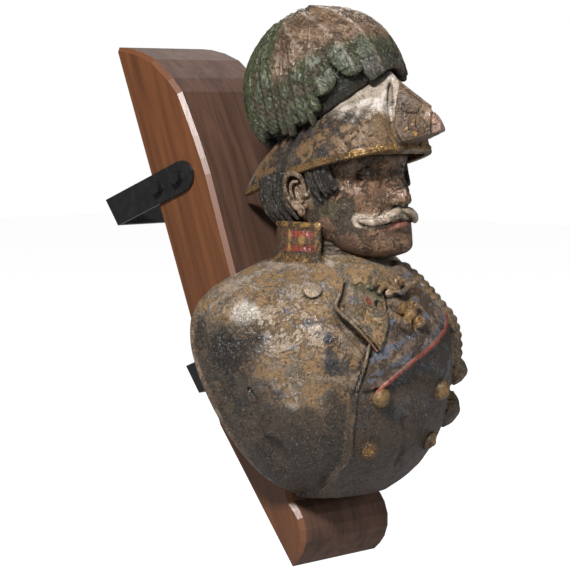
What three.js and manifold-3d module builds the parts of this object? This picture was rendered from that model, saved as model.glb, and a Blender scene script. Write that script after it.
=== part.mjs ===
// Ship figurehead: the carved bust of a uniformed officer in a plumed bicorn hat, on a pine board
// with two steel wall brackets. Millimetres, +Z up. The bust faces -Y and its left side is +X.
// The part's origin is the centre of the upper bracket's wall plate.
import * as THREE from "three";
import { mergeVertices } from "three/addons/utils/BufferGeometryUtils.js";
import Module from "manifold-3d";

const wasm = await Module();
wasm.setup();

// ---------------------------------------------------------------- driving dimensions

const GAP = 0.3; // clearance between pieces that touch

// The board leans back. Its faces are given as y = offset + slope * z.
const BOARD_HALF_WIDTH = 95;
const BOARD_EDGE_CHAMFER = 6;
const BOARD_FRONT = { offset: 6.3, slope: 0.356 };
const BOARD_BACK = { offset: 126.1, slope: 0.394 };
const BOARD_STRAIGHT = { top: 165, bottom: -298 }; // heights between which the front is flat
const WALL_SLOPE = 0.72;
const WALL_PLATE_CENTRE = new THREE.Vector3(0, 265, 101);
const WALL = {
  offset: WALL_PLATE_CENTRE.y - WALL_SLOPE * WALL_PLATE_CENTRE.z,
  slope: WALL_SLOPE,
};

// Flat bar of the two brackets, and their M10 coach bolts.
const BAR_WIDTH = 45;
const BAR_THICKNESS = 5;
const BAR_LENGTHS = { upper: 184, lower: 108 };
const PLATE_SPACING = 295; // between the wall plates, along the wall
const BOLT_FROM_END = 30;
const BOLT_SPACING = 44;
const BOLT = {
  acrossFlats: 17,
  head: 7,
  washer: 20,
  washerThickness: 2,
  shank: 10,
  length: 42,
  hole: 11,
};

// Torso: level sections, from the bottom up. y is the place of the widest point, half the
// half-width, front and back the depths from there, power the fullness (2 is an ellipse).
const TORSO = [
  { z: -295, y: -118, half: 26, front: 20, back: 30, power: 2 },
  { z: -290, y: -108, half: 68, front: 42, back: 40, power: 2 },
  { z: -280, y: -98, half: 104, front: 72, back: 60, power: 2 },
  { z: -265, y: -90, half: 131, front: 102, back: 90, power: 2 },
  { z: -245, y: -82, half: 154, front: 130, back: 110, power: 2 },
  { z: -212, y: -70, half: 180, front: 161, back: 130, power: 2 },
  { z: -170, y: -56, half: 201, front: 190, back: 150, power: 2 },
  { z: -125, y: -42, half: 215, front: 213, back: 160, power: 2 },
  { z: -80, y: -34, half: 220, front: 229, back: 160, power: 1.95 },
  { z: -45, y: -32, half: 213, front: 227, back: 140, power: 1.88 },
  { z: -18, y: -34, half: 198, front: 212, back: 110, power: 1.8 },
  { z: 4, y: -38, half: 177, front: 193, back: 86, power: 1.8 },
  { z: 20, y: -44, half: 150, front: 176, back: 74, power: 1.8 },
  { z: 32, y: -54, half: 122, front: 156, back: 70, power: 1.8 },
  { z: 42, y: -70, half: 98, front: 128, back: 66, power: 1.9 },
  { z: 50, y: -84, half: 84, front: 100, back: 66, power: 2 },
  { z: 58, y: -94, half: 72, front: 74, back: 66, power: 2 },
];
const TORSO_SIDES = 34;

// Head frame: x, forward and up from the point midway between the ears, tipped back.
const HEAD_CENTRE = new THREE.Vector3(0, -108, 139);
const HEAD_TILT = THREE.MathUtils.degToRad(12);
const HEAD = [
  { up: -105, forward: 76, half: 14, front: 14, back: 14 },
  { up: -102, forward: 70, half: 27, front: 28, back: 24 },
  { up: -95, forward: 60, half: 41, front: 43, back: 36 },
  { up: -82, forward: 46, half: 54, front: 58, back: 48 },
  { up: -60, forward: 26, half: 67, front: 78, back: 62 },
  { up: -37, forward: 12, half: 74, front: 90, back: 80 },
  { up: 0, forward: 4, half: 80, front: 96, back: 95 },
  { up: 32, forward: 0, half: 82, front: 109, back: 97 },
  { up: 62, forward: -2, half: 79, front: 104, back: 92 },
];
const HEAD_SIDES = 32;

// Carved relief of the face, mirrored across the middle: place, lift and spread of each form.
const FACE_FORMS = [
  { x: 31, up: 12, lift: -13, wide: 18, high: 12 }, // eye socket
  { x: 31, up: 11, lift: 8, wide: 12, high: 8 }, // eyeball
  { x: 30, up: 30, lift: 6, wide: 26, high: 8 }, // brow
  { x: 48, up: -14, lift: 6, wide: 18, high: 16 }, // cheekbone
  { x: 0, up: -52, lift: 5, wide: 24, high: 7 }, // upper lip
  { x: 0, up: -59, lift: -4, wide: 22, high: 2.5 }, // line of the mouth
  { x: 0, up: -66, lift: 6, wide: 18, high: 6 }, // lower lip
  { x: 0, up: -76, lift: -4, wide: 18, high: 5 }, // hollow under the lip
  { x: 0, up: -91, lift: 7, wide: 20, high: 11 }, // chin
];
const NOSE = [
  { up: 34, lift: 0, wide: 12 },
  { up: 18, lift: 7, wide: 9 },
  { up: -8, lift: 17, wide: 9 },
  { up: -28, lift: 27, wide: 12 },
  { up: -36, lift: 18, wide: 14 },
  { up: -42, lift: 0, wide: 14 },
];

// Neck, neckcloth and standing collar, as upright ellipses about NECK_CENTRE.
const NECK_CENTRE = new THREE.Vector3(0, -98, 0);
const NECK = { half: 60, depth: 62, bottom: 30, top: 120 };
const NECKCLOTH = { half: 66, depth: 76, bottom: 24, top: 74 };
const COLLAR = { half: 82, depth: 85, bottom: 38, top: 99, thickness: 8 };
const COLLAR_OPENING = THREE.MathUtils.degToRad(62); // each side of the front

// Hat in the head frame: cross-sections from the back of the hat to its front. Each is an arch
// of half-width half from up = brim to up = top, whose top leans back by lean.
const HAT = [
  { forward: -190, half: 36, brim: 14, top: 118, lean: 0 },
  { forward: -158, half: 41, brim: 21, top: 122, lean: 0 },
  { forward: -92, half: 64, brim: 26, top: 132, lean: 0 },
  { forward: -27, half: 84, brim: 27, top: 142, lean: 0 },
  { forward: 13, half: 93, brim: 29, top: 148, lean: 0 },
  { forward: 55, half: 97, brim: 30, top: 154, lean: 2 },
  { forward: 86, half: 91, brim: 31, top: 155, lean: 4 },
  { forward: 110, half: 78, brim: 32, top: 153, lean: 7 },
  { forward: 127, half: 60, brim: 34, top: 150, lean: 10 },
  { forward: 140, half: 40, brim: 36, top: 146, lean: 13 },
];
// The beak stands out in front, between the two side flaps.
const HAT_BEAK = [
  { forward: 112, half: 36, brim: 46, top: 150, lean: 0 },
  { forward: 140, half: 29, brim: 45, top: 131, lean: 0 },
  { forward: 154, half: 23, brim: 45, top: 116, lean: 0 },
  { forward: 170, half: 17, brim: 46, top: 101, lean: 0 },
  { forward: 188, half: 12, brim: 47, top: 85, lean: 0 },
  { forward: 200, half: 8, brim: 48, top: 72, lean: 0 },
  { forward: 205, half: 6, brim: 49, top: 63, lean: 0 },
];
const HAT_RIM = 8; // thickness of the brim's edge
const HAT_HOLLOW = 14; // how far the hat's underside is hollowed
const BEAK_HOLLOW = 3;

// Plume in the head frame: a dome of drooping feathers over a skirt of their tips.
const PLUME = { forward: 3, up: 148, half: 90, reach: 126, height: 118 };
const PLUME_EDGE = { side: 92, rise: 50 }; // height of the feather tips, and their rise to the front
const FEATHERS = 14; // around the dome
const FEATHER_LIFT = 7;
const FEATHER_SWEEP = 0.35; // how far a feather curls round as it falls, in radians

// ---------------------------------------------------------------- geometry helpers

// Smooth curve through a table's values: field by field, at the given key value.
function along(table, key, value) {
  const last = table.length - 1;
  const rising = table[last][key] > table[0][key];
  let i = table.findIndex((row) => (rising ? row[key] > value : row[key] < value)) - 1;
  if (i === -2) i = last - 1;
  i = THREE.MathUtils.clamp(i, 0, last - 1);
  const a = table[i];
  const b = table[i + 1];
  const before = table[Math.max(i - 1, 0)];
  const after = table[Math.min(i + 2, last)];
  const span = b[key] - a[key];
  const t = THREE.MathUtils.clamp((value - a[key]) / span, 0, 1);
  const result = {};
  for (const field of Object.keys(a)) {
    const slopeIn = ((b[field] - before[field]) / (b[key] - before[key])) * span;
    const slopeOut = ((after[field] - a[field]) / (after[key] - a[key])) * span;
    const rise = b[field] - a[field];
    const cubic = slopeIn + slopeOut - 2 * rise;
    const square = 3 * rise - 2 * slopeIn - slopeOut;
    result[field] = a[field] + t * (slopeIn + t * (square + t * cubic));
  }
  return result;
}

// A closed skin over rings of points that all have the same count, with a fan at each end.
function skin(rings) {
  const count = rings[0].length;
  const points = rings.flat();
  const triangles = [];
  for (let i = 0; i < rings.length - 1; i++)
    for (let j = 0; j < count; j++) {
      const k = (j + 1) % count;
      const a = i * count + j;
      const b = i * count + k;
      triangles.push(a, b, b + count, a, b + count, a + count);
    }
  for (const [ring, start, flip] of [
    [rings[0], 0, true],
    [rings.at(-1), (rings.length - 1) * count, false],
  ]) {
    const centre = ring.reduce((sum, p) => sum.add(p), new THREE.Vector3()).divideScalar(count);
    const c = points.push(centre) - 1;
    for (let j = 0; j < count; j++) {
      const a = start + j;
      const b = start + ((j + 1) % count);
      triangles.push(...(flip ? [b, a, c] : [a, b, c]));
    }
  }
  const geometry = new THREE.BufferGeometry().setFromPoints(points);
  geometry.setIndex(signedVolume(points, triangles) < 0 ? triangles.reverse() : triangles);
  return geometry;
}

function signedVolume(points, triangles) {
  let sum = 0;
  const normal = new THREE.Vector3();
  for (let i = 0; i < triangles.length; i += 3) {
    const [a, b, c] = triangles.slice(i, i + 3).map((index) => points[index]);
    sum += a.dot(normal.crossVectors(b, c));
  }
  return sum;
}

// A geometry as a solid that can be joined and cut.
function solid(geometry) {
  const bare = geometry.clone();
  for (const name of Object.keys(bare.attributes))
    if (name !== "position") bare.deleteAttribute(name);
  const merged = mergeVertices(bare, 1e-4);
  const vertProperties = merged.attributes.position.array;
  const triVerts = new Uint32Array(merged.index.array);
  return new wasm.Manifold(new wasm.Mesh({ numProp: 3, vertProperties, triVerts }));
}

const join = (solids) => solids.reduce((sum, next) => sum.add(next));

function meshOf(name, body, material) {
  const { vertProperties, triVerts } = body.getMesh();
  const geometry = new THREE.BufferGeometry();
  geometry.setAttribute("position", new THREE.BufferAttribute(vertProperties, 3));
  geometry.setIndex(new THREE.BufferAttribute(triVerts, 1));
  geometry.computeVertexNormals();
  const mesh = new THREE.Mesh(geometry, material);
  mesh.name = name;
  return mesh;
}

const paint = (color, roughness, metalness) =>
  new THREE.MeshStandardMaterial({ color, roughness, metalness });

// A flat outline of [y, z] points made solid from x = -half to x = half.
function sidewaysPrism(outline, half, options = {}) {
  const shape = new THREE.Shape(outline.map(([y, z]) => new THREE.Vector2(y, z)));
  const geometry = new THREE.ExtrudeGeometry(shape, {
    depth: 2 * half,
    bevelEnabled: false,
    ...options,
  });
  const axes = new THREE.Matrix4().makeBasis(
    new THREE.Vector3(0, 1, 0),
    new THREE.Vector3(0, 0, 1),
    new THREE.Vector3(1, 0, 0),
  );
  return solid(geometry.applyMatrix4(axes.setPosition(-half, 0, 0)));
}

// Everything from a sloping plane y = offset + slope * z as far as farY, on either side of it.
function halfSpace({ offset, slope }, farY, half = 400) {
  const [low, high] = [-600, 600];
  const outline = [
    [offset + slope * low, low],
    [offset + slope * high, high],
    [farY, high],
    [farY, low],
  ];
  return sidewaysPrism(farY < offset ? outline.reverse() : outline, half);
}

const fromHead = (x, forward, up) =>
  new THREE.Vector3(
    x,
    HEAD_CENTRE.y - forward * Math.cos(HEAD_TILT) + up * Math.sin(HEAD_TILT),
    HEAD_CENTRE.z + forward * Math.sin(HEAD_TILT) + up * Math.cos(HEAD_TILT),
  );

// Angles around a ring, measured from the front and closer together there.
function ringAngles(count, crowding) {
  return Array.from({ length: count }, (_, i) => {
    const turn = (2 * i) / count - 1;
    return Math.PI * (turn - (crowding * Math.sin(Math.PI * turn)) / Math.PI);
  });
}

// A rounded bar along a path, thickness and width given at each point from 0 to 1.
function sweptBar(points, sizeAt, steps, sides, outward) {
  const curve = new THREE.CatmullRomCurve3(points);
  const rings = [];
  for (let i = 0; i <= steps; i++) {
    const t = i / steps;
    const centre = curve.getPoint(t);
    const direction = curve.getTangent(t);
    const normal = outward(centre).projectOnPlane(direction).normalize();
    const side = new THREE.Vector3().crossVectors(direction, normal);
    const { wide, thick } = sizeAt(t);
    rings.push(
      Array.from({ length: sides }, (_, j) => {
        const angle = (2 * Math.PI * j) / sides;
        return centre
          .clone()
          .addScaledVector(side, wide * Math.cos(angle))
          .addScaledVector(normal, thick * Math.sin(angle));
      }),
    );
  }
  return solid(skin(rings));
}

// ---------------------------------------------------------------- board

const frontFace = (z) => BOARD_FRONT.offset + BOARD_FRONT.slope * z;

function boardOutline() {
  const topCurve = new THREE.CatmullRomCurve3(
    [
      [258, 350],
      [229, 347],
      [183, 333],
      [159, 315],
      [128, 290],
      [107, 253],
      [80, 199],
      [frontFace(BOARD_STRAIGHT.top), BOARD_STRAIGHT.top],
    ].map(([y, z]) => new THREE.Vector3(y, z, 0)),
  );
  const foot = new THREE.CatmullRomCurve3(
    [
      [frontFace(BOARD_STRAIGHT.bottom), BOARD_STRAIGHT.bottom],
      [-116, -315],
      [-125, -345],
      [-116, -374],
      [-98, -392],
    ].map(([y, z]) => new THREE.Vector3(y, z, 0)),
  );
  const cutTop = (WALL.offset - BOARD_BACK.offset) / (BOARD_BACK.slope - WALL.slope);
  return [
    ...topCurve.getPoints(10),
    ...foot.getPoints(7),
    { x: WALL.offset + WALL.slope * cutTop, y: cutTop },
    { x: BOARD_BACK.offset + BOARD_BACK.slope * 343, y: 343 },
  ].map(({ x, y }) => [y > BOARD_STRAIGHT.bottom ? Math.max(x, frontFace(y)) : x, y]);
}

function makeBoard() {
  const bevel = {
    bevelEnabled: true,
    bevelSegments: 1,
    bevelSize: BOARD_EDGE_CHAMFER,
    bevelOffset: -BOARD_EDGE_CHAMFER,
    bevelThickness: BOARD_EDGE_CHAMFER,
    depth: 2 * (BOARD_HALF_WIDTH - BOARD_EDGE_CHAMFER),
  };
  const outline = boardOutline().reverse();
  const plank = sidewaysPrism(outline, BOARD_HALF_WIDTH - BOARD_EDGE_CHAMFER, bevel);
  return plank.subtract(join(boltPlaces().map(boltBore)));
}

// ---------------------------------------------------------------- brackets and bolts

const WALL_ANGLE = Math.atan(WALL_SLOPE);
const BAR_ANGLE = Math.atan(BOARD_BACK.slope); // the bars stand square to the board's back

// The bar's frame: from the wall plate's centre, along the bar and across it.
function bracketFrame(level) {
  const along = new THREE.Vector3(0, -Math.cos(BAR_ANGLE), Math.sin(BAR_ANGLE));
  const across = new THREE.Vector3(0, Math.sin(BAR_ANGLE), Math.cos(BAR_ANGLE));
  const drop = level === "lower" ? PLATE_SPACING : 0;
  const centre = WALL_PLATE_CENTRE.clone();
  centre.y -= drop * Math.sin(WALL_ANGLE);
  centre.z -= drop * Math.cos(WALL_ANGLE);
  return { along, across, centre, length: BAR_LENGTHS[level] };
}

function boltPlaces() {
  const places = [];
  for (const level of ["upper", "lower"]) {
    const { along, centre, length } = bracketFrame(level);
    for (const [side, sign] of [
      ["right", -1],
      ["left", 1],
    ])
      for (const number of [1, 2]) {
        const reach = length - BOLT_FROM_END - (number - 1) * BOLT_SPACING;
        const at = centre.clone().addScaledVector(along, reach);
        at.x = sign * (BOARD_HALF_WIDTH + GAP + BAR_THICKNESS + GAP);
        places.push({ name: `${level}_bolt_${side}_${number}`, at, sign });
      }
  }
  return places;
}

// A cylinder lying along X, from a face at x = 0 towards +X.
function crosswiseCylinder(radius, height, sides) {
  const geometry = new THREE.CylinderGeometry(radius, radius, height, sides);
  return geometry.rotateZ(-Math.PI / 2).translate(height / 2, 0, 0);
}

const placed = (geometry, { at, sign }) =>
  solid(
    geometry
      .rotateY(sign < 0 ? Math.PI : 0)
      .translate(at.x, at.y, at.z),
  );

function boltBore(place) {
  const depth = BOLT.length + 2;
  const bore = crosswiseCylinder(BOLT.shank / 2 + 2 * GAP, depth + 10, 8);
  return placed(bore.translate(-depth, 0, 0), place);
}

function boltHole(place) {
  const hole = crosswiseCylinder(BOLT.hole / 2 + GAP, 30, 8);
  return placed(hole.translate(-15, 0, 0), place);
}

function makeBolt(place) {
  const headRadius = BOLT.acrossFlats / Math.sqrt(3);
  const washer = crosswiseCylinder(BOLT.washer / 2, BOLT.washerThickness, 8);
  const head = crosswiseCylinder(headRadius, BOLT.head, 6).translate(BOLT.washerThickness, 0, 0);
  const shank = crosswiseCylinder(BOLT.shank / 2, BOLT.length + 1, 6).translate(-BOLT.length, 0, 0);
  return join([washer, head, shank].map((geometry) => placed(geometry, place)));
}

function makeBracket(level) {
  const { along, across, centre, length } = bracketFrame(level);
  const round = BAR_WIDTH / 2;
  const outline = [];
  const spot = (reach, offset) => {
    const p = centre.clone().addScaledVector(along, reach).addScaledVector(across, offset);
    return [p.y, p.z];
  };
  outline.push(spot(-20, -round), spot(-20, round));
  for (let i = 0; i <= 8; i++) {
    const angle = Math.PI / 2 - (Math.PI * i) / 8;
    outline.push(spot(length - round + round * Math.cos(angle), round * Math.sin(angle)));
  }
  const inner = BOARD_HALF_WIDTH + GAP;
  const bar = sidewaysPrism(outline.reverse(), inner + BAR_THICKNESS);
  const plateFront = { offset: WALL.offset - BAR_THICKNESS / Math.cos(WALL_ANGLE), slope: WALL_SLOPE };
  const room = halfSpace(plateFront, -900, inner);
  const holes = join(boltPlaces().filter(({ name }) => name.startsWith(level)).map(boltHole));
  return bar.subtract(room).subtract(halfSpace(WALL, 900)).subtract(holes);
}

// ---------------------------------------------------------------- torso

function torsoPoint(z, angle) {
  const { y, half, front, back, power } = along(TORSO, "z", z);
  const ahead = Math.cos(angle) > 0;
  const bend = ahead ? 2 / power : 1;
  const across = Math.sign(Math.sin(angle)) * Math.abs(Math.sin(angle)) ** bend;
  const reach = Math.sign(Math.cos(angle)) * Math.abs(Math.cos(angle)) ** bend;
  return new THREE.Vector3(half * across, y - (ahead ? front : back) * reach, z);
}

// The point of the chest at a given x and height, raised by lift.
function chestPoint(x, z, lift) {
  const { y, half, front, power } = along(TORSO, "z", z);
  const share = Math.min(Math.abs(x) / half, 0.98);
  const depth = front * (1 - share ** power) ** (1 / power);
  const outward = new THREE.Vector3(x / (half * half), -depth / (front * front), 0).normalize();
  return new THREE.Vector3(x, y - depth, z).addScaledVector(outward, lift);
}

function makeTorso() {
  const angles = ringAngles(TORSO_SIDES, 0.25);
  const heights = TORSO.map((row) => row.z);
  return solid(skin(heights.map((z) => angles.map((angle) => torsoPoint(z, angle)))));
}

// ---------------------------------------------------------------- head

function faceRelief(x, up) {
  let lift = 0;
  for (const form of FACE_FORMS)
    lift +=
      form.lift *
      Math.exp(-(((Math.abs(x) - form.x) / form.wide) ** 2) - ((up - form.up) / form.high) ** 2);
  if (up < NOSE[0].up && up > NOSE.at(-1).up) {
    const nose = along(NOSE, "up", up);
    lift += nose.lift * Math.exp(-((x / nose.wide) ** 2));
  }
  return lift;
}

function makeHead() {
  const heights = [];
  for (let up = HEAD[0].up; up < HEAD.at(-1).up - 4; up += up < -90 ? 5 : 8) heights.push(up);
  heights.push(HEAD.at(-1).up);
  const angles = ringAngles(HEAD_SIDES, 0.5);
  return solid(
    skin(
      heights.map((up) => {
        const { forward, half, front, back } = along(HEAD, "up", up);
        return angles.map((angle) => {
          const x = half * Math.sin(angle);
          const ahead = Math.cos(angle) > 0;
          const reach = (ahead ? front : back) * Math.cos(angle);
          return fromHead(x, forward + reach + (ahead ? faceRelief(x, up) : 0), up);
        });
      }),
    ),
  );
}

// An upright elliptical band about the neck.
function neckBand({ half, depth, bottom, top }, sides) {
  const angles = ringAngles(sides, 0);
  const ring = (z, grow) =>
    angles.map(
      (angle) =>
        new THREE.Vector3(
          (half + grow) * Math.sin(angle),
          NECK_CENTRE.y - (depth + grow) * Math.cos(angle),
          z,
        ),
    );
  return solid(skin([ring(bottom, 6), ring((bottom + top) / 2, 3), ring(top, 0)]));
}

function makeCollar() {
  const { half, depth, bottom, top, thickness } = COLLAR;
  const steps = 20;
  const rings = [];
  for (let i = 0; i <= steps; i++) {
    const turn = COLLAR_OPENING + ((2 * Math.PI - 2 * COLLAR_OPENING) * i) / steps;
    const corner = (inset, z) =>
      new THREE.Vector3(
        (half - inset) * Math.sin(turn),
        NECK_CENTRE.y - (depth - inset) * Math.cos(turn),
        z,
      );
    rings.push([
      corner(-6, bottom),
      corner(0, top - 3),
      corner(3, top),
      corner(thickness, top - 2),
      corner(thickness + 4, bottom),
    ]);
  }
  return solid(skin(rings));
}

function makeEar(sign) {
  const steps = 10;
  const helix = [];
  for (let i = 0; i <= steps; i++) {
    const angle = THREE.MathUtils.degToRad(-70 - (290 - 30) * (i / steps) + 180);
    const reach = 15 - 3 * (i / steps);
    helix.push(
      fromHead(
        sign * (86 - 3 * Math.sin((Math.PI * i) / steps)),
        -2 - reach * Math.cos(angle),
        2 + 27 * Math.sin(angle),
      ),
    );
  }
  const rim = sweptBar(
    helix,
    (t) => ({ wide: 4.5 + 2 * t, thick: 6 }),
    8,
    4,
    () => new THREE.Vector3(sign, 0, 0),
  );
  const bowl = new THREE.SphereGeometry(1, 7, 5);
  bowl.scale(7, 18, 29).rotateX(-HEAD_TILT);
  const centre = fromHead(sign * 79, -2, 2);
  return join([rim, solid(bowl.translate(centre.x, centre.y, centre.z))]);
}

function makeMoustache(sign) {
  const path = [
    fromHead(0, 104, -43),
    fromHead(sign * 14, 106, -47),
    fromHead(sign * 32, 98, -54),
    fromHead(sign * 47, 86, -55),
    fromHead(sign * 58, 74, -48),
  ];
  const forward = fromHead(0, 1, 0).sub(fromHead(0, 0, 0));
  const outward = () => forward.clone().add(new THREE.Vector3(0.35 * sign, 0, 0));
  const sizeAt = (t) => ({
    wide: 3 + 7 * Math.sin(Math.PI * (0.15 + 0.8 * t)),
    thick: 2.5 + 7 * Math.sin(Math.PI * (0.2 + 0.75 * t)),
  });
  return sweptBar(path, sizeAt, 8, 6, outward);
}

// Locks of hair: at the temple, and brushed back behind the ear.
function makeHair(sign) {
  const outward = () => new THREE.Vector3(sign, 0, 0);
  const locks = [];
  for (let i = 0; i < 2; i++)
    locks.push([
      fromHead(sign * 80, 40 + 14 * i, 36),
      fromHead(sign * (80 - 2 * i), 34 + 14 * i, 4),
      fromHead(sign * (76 - 4 * i), 42 + 10 * i, -22 - 8 * i),
    ]);
  for (let i = 0; i < 3; i++)
    locks.push([
      fromHead(sign * (82 - 6 * i), -26 - 20 * i, 36),
      fromHead(sign * (82 - 8 * i), -30 - 19 * i, 0),
      fromHead(sign * (73 - 9 * i), -22 - 18 * i, -38),
    ]);
  const sizeAt = (t) => ({ wide: 11 - 5 * t, thick: 8 - 4 * t });
  return join(locks.map((lock) => sweptBar(lock, sizeAt, 3, 4, outward)));
}

// ---------------------------------------------------------------- uniform

function makeButton(x, z, radius, height) {
  const dome = new THREE.SphereGeometry(radius, 8, 4);
  dome.scale(1, 1, height / radius);
  const at = chestPoint(x, z, 0);
  const facing = chestPoint(x, z, 1).sub(at);
  dome.applyQuaternion(
    new THREE.Quaternion().setFromUnitVectors(new THREE.Vector3(0, 0, 1), facing.normalize()),
  );
  return solid(dome.translate(at.x, at.y, at.z));
}

// A raised patch on the chest, between a left and a right edge of [x, z] points.
function chestPatch(leftEdge, rightEdge, lift, steps) {
  const edge = (points) =>
    new THREE.CatmullRomCurve3(points.map(([x, z]) => new THREE.Vector3(x, z, 0)));
  const left = edge(leftEdge);
  const right = edge(rightEdge);
  const rings = [];
  for (let i = 0; i <= steps; i++) {
    const a = left.getPoint(i / steps);
    const b = right.getPoint(i / steps);
    const across = 3;
    const top = [];
    const under = [];
    for (let j = 0; j <= across; j++) {
      const p = a.clone().lerp(b, j / across);
      top.push(chestPoint(p.x, p.y, lift));
      under.push(chestPoint(p.x, p.y, -12));
    }
    rings.push([...top, ...under.reverse()]);
  }
  return solid(skin(rings));
}

function makeUniform() {
  // The buttoned panel, lower at its right edge, with the far lapel over it and the near
  // lapel turned back so that its lower edge stands clear of the chest.
  const panel = chestPatch(
    [
      [-62, -6],
      [-104, -118],
      [-112, -180],
      [-98, -256],
    ],
    [
      [52, -6],
      [86, -110],
      [88, -180],
      [70, -256],
    ],
    6,
    8,
  );
  const nearLapel = chestPatch(
    [
      [-64, 34],
      [-94, 4],
      [-104, -26],
      [-84, -62],
    ],
    [
      [-40, 34],
      [-48, 4],
      [-58, -32],
      [-74, -70],
    ],
    15,
    7,
  );
  const farLapel = chestPatch(
    [
      [22, 34],
      [-14, -20],
      [-46, -76],
      [-74, -120],
    ],
    [
      [66, 30],
      [78, -20],
      [20, -62],
      [-66, -124],
    ],
    11,
    7,
  );
  const buttons = [];
  for (const x of [-62, 60])
    for (const z of [-138, -212]) buttons.push(makeButton(x, z, 13, 16));
  for (const sign of [-1, 1]) buttons.push(makeButton(sign * 112, 6, 11, 10));
  return join([panel, nearLapel, farLapel, ...makeOrnament(), ...makeAiguillette(), ...buttons]);
}

// The plaited cord on the figure's left breast, and the two medals that hang below it.
function makeAiguillette() {
  const route = [
    [78, 22],
    [112, -8],
    [136, -50],
    [142, -96],
  ];
  const path = route.map(([x, z]) => chestPoint(x, z, 6));
  const outward = (at) => at.clone().sub(new THREE.Vector3(0, -30, at.z));
  const cord = sweptBar(path, () => ({ wide: 11, thick: 9 }), 6, 5, outward);
  return [cord, makeButton(138, -118, 19, 17), makeButton(128, -166, 22, 17)];
}

// The knot of cord below the collar, and the hanging cross beside it.
function makeOrnament() {
  const knot = [
    [-34, 4, 13],
    [-12, -2, 13],
    [10, 2, 10],
  ];
  const arm = 20;
  const cross = [0, 1, 2, 3].map((quarter) => {
    const angle = Math.PI / 4 + (quarter * Math.PI) / 2;
    return [-8 + arm * Math.cos(angle), -52 + arm * Math.sin(angle), 10];
  });
  return [...knot, ...cross].map(([x, z, radius]) => makeButton(x, z, radius, radius + 12));
}

// ---------------------------------------------------------------- hat and plume

// The hat's cross-section at one station: an arch above, hollowed underneath.
function hatRing({ forward, half, brim, top, lean }, hollow, grow) {
  const steps = 7;
  const ring = [];
  for (let i = -steps; i <= steps; i++) {
    const rise = 1 - Math.abs(i) / steps;
    const width = (half + grow) * (1 - rise * rise) * Math.sign(i);
    ring.push(fromHead(width, forward - lean * rise, brim + (top + grow - brim) * rise));
  }
  const rim = Math.min(HAT_RIM, 0.4 * half);
  ring.push(fromHead(half - rim, forward, brim));
  ring.push(fromHead(half - rim - 0.4 * hollow, forward, brim + hollow));
  ring.push(fromHead(-(half - rim - 0.4 * hollow), forward, brim + hollow));
  ring.push(fromHead(-(half - rim), forward, brim));
  return ring;
}

function makeHat(grow = 0) {
  const flaps = [];
  for (let i = 0; i <= 12; i++) {
    const forward = THREE.MathUtils.lerp(HAT[0].forward, HAT.at(-1).forward, i / 12);
    flaps.push(hatRing(along(HAT, "forward", forward), HAT_HOLLOW, grow));
  }
  const beak = HAT_BEAK.map((station) => hatRing(station, BEAK_HOLLOW, grow));
  return join([solid(skin(flaps)), solid(skin(beak))]);
}

// A point of the plume: turn goes round from the front, fall from the crest (0) to the tips (1).
function plumePoint(turn, fall) {
  const strand = (FEATHERS * (turn - FEATHER_SWEEP * fall * Math.sin(turn))) / (2 * Math.PI);
  const across = 2 * (strand - Math.floor(strand)) - 1;
  const lift = FEATHER_LIFT * (1 - across * across) * Math.min(1, 2.5 * fall);
  const dome = Math.min(1, fall / 0.68);
  const skirt = Math.max(0, (fall - 0.68) / 0.32);
  const edge = PLUME_EDGE.side + PLUME_EDGE.rise * Math.max(0, Math.cos(turn)) ** 2;
  const tip = edge + 8 * across * across;
  const angle = (dome * Math.PI) / 2;
  const girth = Math.sin(angle) * (1 - 0.1 * skirt * skirt);
  return fromHead(
    (PLUME.half * girth + lift) * Math.sin(turn),
    PLUME.forward + (PLUME.reach * girth + lift) * Math.cos(turn),
    PLUME.up + (PLUME.height + lift) * Math.cos(angle) - (PLUME.up - tip) * skirt,
  );
}

function makePlume() {
  const columns = 4 * FEATHERS;
  const rows = 10;
  const rings = [];
  for (let i = 0; i <= rows; i++)
    rings.push(
      Array.from({ length: columns }, (_, j) =>
        plumePoint((2 * Math.PI * j) / columns, 0.06 + (0.94 * i) / rows),
      ),
    );
  const middle = fromHead(0, PLUME.forward, PLUME_EDGE.side + 22);
  rings.push(rings.at(-1).map((tip) => tip.clone().lerp(middle, 0.45)));
  return solid(skin(rings)).subtract(makeHat(GAP));
}

// ---------------------------------------------------------------- assembly

const carvedPaint = paint(0x6b5a3f, 0.6, 0);
const plumePaint = paint(0x5a5a3c, 0.6, 0);
const pine = paint(0x9c5a34, 0.45, 0);
const blackSteel = paint(0x17181a, 0.4, 0.7);

function makeFigure() {
  const head = join([makeHead(), neckBand(NECK, 16), neckBand(NECKCLOTH, 22)]);
  const sides = [-1, 1].flatMap((sign) => [makeEar(sign), makeMoustache(sign), makeHair(sign)]);
  const figure = join([makeTorso(), makeUniform(), makeCollar(), head, ...sides, makeHat()]);
  const inFront = { offset: BOARD_FRONT.offset - GAP, slope: BOARD_FRONT.slope };
  return figure.subtract(halfSpace(inFront, 900));
}

const bust = new THREE.Group();
bust.position.copy(WALL_PLATE_CENTRE).negate();
bust.add(meshOf("figure", makeFigure(), carvedPaint));
bust.add(meshOf("plume", makePlume(), plumePaint));
bust.add(meshOf("stem_board", makeBoard(), pine));
bust.add(meshOf("upper_bracket", makeBracket("upper"), blackSteel));
bust.add(meshOf("lower_bracket", makeBracket("lower"), blackSteel));
for (const place of boltPlaces()) bust.add(meshOf(place.name, makeBolt(place), blackSteel));

const figurehead = new THREE.Group();
figurehead.add(bust);

export default figurehead;
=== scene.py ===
"""Looks of the ship figurehead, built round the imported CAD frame.

Shapes are worked out in millimetres in the bust's own frame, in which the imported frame's
origin, the centre of the upper wall plate, lies at WALL_PLATE_CENTRE. Blender works in metres.
"""

import math

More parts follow.
